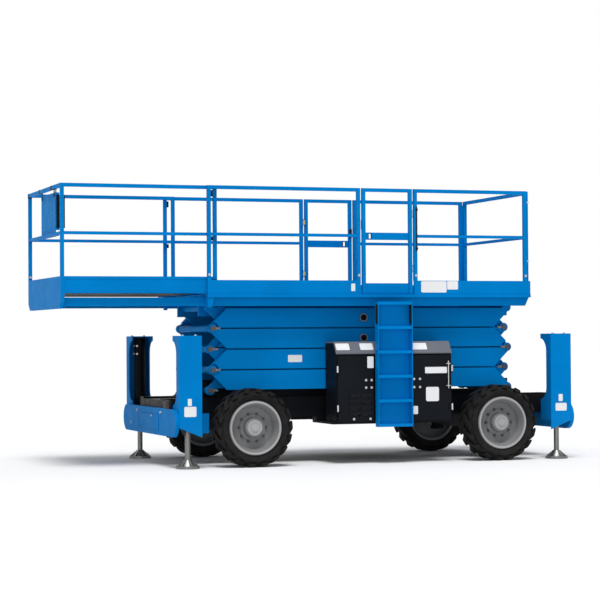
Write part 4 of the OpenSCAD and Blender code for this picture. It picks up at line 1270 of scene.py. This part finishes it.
class LIFT_OT_outrigger_fittings(bpy.types.Operator):
    """Adds the beam covers, bolts, hose fittings and valve block of the outriggers"""
    bl_idname = "lift.outrigger_fittings"
    bl_label = "Outrigger fittings"

    def execute(self, context):
        radius = context.scene.lift_fittings.bolt_radius * OUTRIGGER_BOLT_SCALE
        for end, way in ENDS.items():
            self.beam_cover(end, way)
            spots = [(at(way * BEAM_FACE, -way * y, z), (way, 0, 0)) for y, z in BEAM_BOLTS]
            for out in SIDES.values():
                spots += [(at(way * x, out * HOUSING_BOLT_Y, HOUSING_TOP), UP) for x in HOUSING_BOLTS]
            bolts(f"outrigger_bolts_{end}", radius, spots, "chassis")
            self.hose_fittings(end, way)
        self.valve_block()
        return {"FINISHED"}

    def beam_cover(self, end, way):
        """Cover on the outer face of an end beam."""
        place = at(way * BEAM_FACE, way * BEAM_COVER_SHIFT, BEAM_COVER_Z)
        turn = Matrix.Rotation(math.radians(90 * way), 4, "Z") @ wall_turn(-1)
        cover = plate(f"beam_cover_{end}", BEAM_COVER_SIZE, place, turn, BEAM_COVER_BORDER)
        done(cover, "Blue enamel", "chassis")

    def hose_fittings(self, end, way):
        """Bright hose fittings on the jack barrels."""
        spots = []
        for side in SIDES:
            axis = middle(f"leg_{end}_{side}")
            for z in JACK_FITTINGS:
                for x, y in JACK_FITTING_WAYS:
                    towards = Vector((way * x, y, 0))
                    foot = towards * (JACK_RADIUS - JACK_FITTING_SINK)
                    spots.append((Vector((axis.x, axis.y, z)) + foot, towards))
        done(turned("nipple", f"jack_fittings_{end}", spots), "Bright steel", "chassis")

    def valve_block(self):
        """Black block with a raised top on the left end beam."""
        low, high = (at(off - BEAM_FACE, y, z) for off, y, z in zip(VALVE_OFF, VALVE_Y, VALVE_Z))
        box = block("valve_block", low, high)
        draw_out(box, UP, VALVE_STEPS)
        done(round_edges(box, VALVE_EDGE), "Black plastic", "chassis")


class LIFT_OT_deck_tread(bpy.types.Operator):
    """Adds the tread bars of both decks, the seams of the skirts and a black sheet of painted shade under the
    slide-out deck
    """
    bl_idname = "lift.deck_tread"
    bl_label = "Deck tread"

    def execute(self, context):
        self.tread("deck_tread", "platform", *DECK_TREAD)
        self.tread("extension_tread", "extension", *EXTENSION_TREAD)
        seams = []
        for way in SIDES.values():
            seams.append(round_edges(side_block("seam", way, SEAM_X, SEAM_OUT, SEAM_Z), SHEET_EDGE))
        done(join(seams, "skirt_seams"), "Blue enamel", "platform")
        # Black sheet that paints the shade under the slide-out deck
        self.underside()
        return {"FINISHED"}

    def tread(self, name, body, x0, x1, half, z, rise):
        """Bars that lie crosswise in turn, repeated over a deck."""
        length, width = TREAD_BAR_HALF
        pair = []
        for shift, turn in ((0, -TREAD_TURN), (TREAD_PITCH / 2, TREAD_TURN)):
            bar = block("bar", (-length, -width, -SINK), (length, width, rise / 2))
            draw_out(bar, UP, [(TREAD_BAR_EDGE, rise / 2)])
            spin = Matrix.Rotation(math.radians(turn), 4, "Z")
            bar.data.transform(Matrix.Translation((shift, shift, 0)) @ spin)
            pair.append(bar)
        piece = join(pair, name)
        columns = int((x1 - x0) / TREAD_PITCH)
        rows = int(2 * half / TREAD_PITCH)
        for count, step in ((columns, (TREAD_PITCH, 0, 0)), (rows, (0, TREAD_PITCH, 0))):
            array = piece.modifiers.new("Rows", "ARRAY")
            array.use_relative_offset = False
            array.use_constant_offset = True
            array.constant_offset_displace = step
            array.count = count
            apply_modifier(piece, array)
        start = at(x0 + TREAD_PITCH / 4, -half + TREAD_PITCH / 4, z)
        piece.data.transform(Matrix.Translation(start))
        done(piece, "Deck grit", body)

    def underside(self):
        """Black sheet under the slide-out deck's floor: painted shade where the deck's underside lies in shadow.
        """
        y_span = (-PAINTED_SHADE_HALF, PAINTED_SHADE_HALF)
        low, high = (at(x, y, z) for x, y, z in zip(PAINTED_SHADE_X, y_span, PAINTED_SHADE_Z))
        sheet = block("extension_underside", low, high)
        draw_out(sheet, DOWN, PAINTED_SHADE_STEPS)
        done(round_edges(sheet, PAINTED_SHADE_EDGE), "Chassis black", "extension")


class LIFT_PT_panel(bpy.types.Panel):
    """Lists the steps and their settings"""
    bl_idname = "LIFT_PT_panel"
    bl_label = "Scissor lift"
    bl_space_type = "VIEW_3D"
    bl_region_type = "UI"
    bl_category = "Lift"

    def draw(self, context):
        layout = self.layout
        for step in STEPS:
            layout.operator(step.bl_idname)
        for group in (context.scene.lift_paint, context.scene.lift_fittings, context.scene.lift_stage):
            for name in group.bl_rna.properties.keys():
                if name not in ("rna_type", "name"):
                    layout.prop(group, name)


STEPS = (
    LIFT_OT_finishes,
    LIFT_OT_stage,
    LIFT_OT_wheel_fittings,
    LIFT_OT_arm_pins,
    LIFT_OT_blank_plates,
    LIFT_OT_door_fittings,
    LIFT_OT_ladder_grips,
    LIFT_OT_rail_fittings,
    LIFT_OT_control_station,
    LIFT_OT_outrigger_fittings,
    LIFT_OT_deck_tread,
)
CLASSES = (LIFT_PG_paint, LIFT_PG_fittings, LIFT_PG_stage, *STEPS, LIFT_PT_panel)


def register():
    """Registers the classes and hangs the settings on the scene."""
    for item in CLASSES:
        bpy.utils.register_class(item)
    bpy.types.Scene.lift_paint = PointerProperty(type=LIFT_PG_paint)
    bpy.types.Scene.lift_fittings = PointerProperty(type=LIFT_PG_fittings)
    bpy.types.Scene.lift_stage = PointerProperty(type=LIFT_PG_stage)


def unregister():
    """Takes the settings and the classes away again."""
    del bpy.types.Scene.lift_stage
    del bpy.types.Scene.lift_fittings
    del bpy.types.Scene.lift_paint
    for item in reversed(CLASSES):
        bpy.utils.unregister_class(item)


def main():
    """Dresses the lift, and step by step."""
    register()
    bpy.ops.lift.finishes()
    bpy.ops.lift.stage()
    bpy.ops.lift.wheel_fittings()
    bpy.ops.lift.arm_pins()
    bpy.ops.lift.blank_plates()
    bpy.ops.lift.door_fittings()
    bpy.ops.lift.ladder_grips()
    bpy.ops.lift.rail_fittings()
    bpy.ops.lift.control_station()
    bpy.ops.lift.outrigger_fittings()
    bpy.ops.lift.deck_tread()


if __name__ == "__main__":
    main()
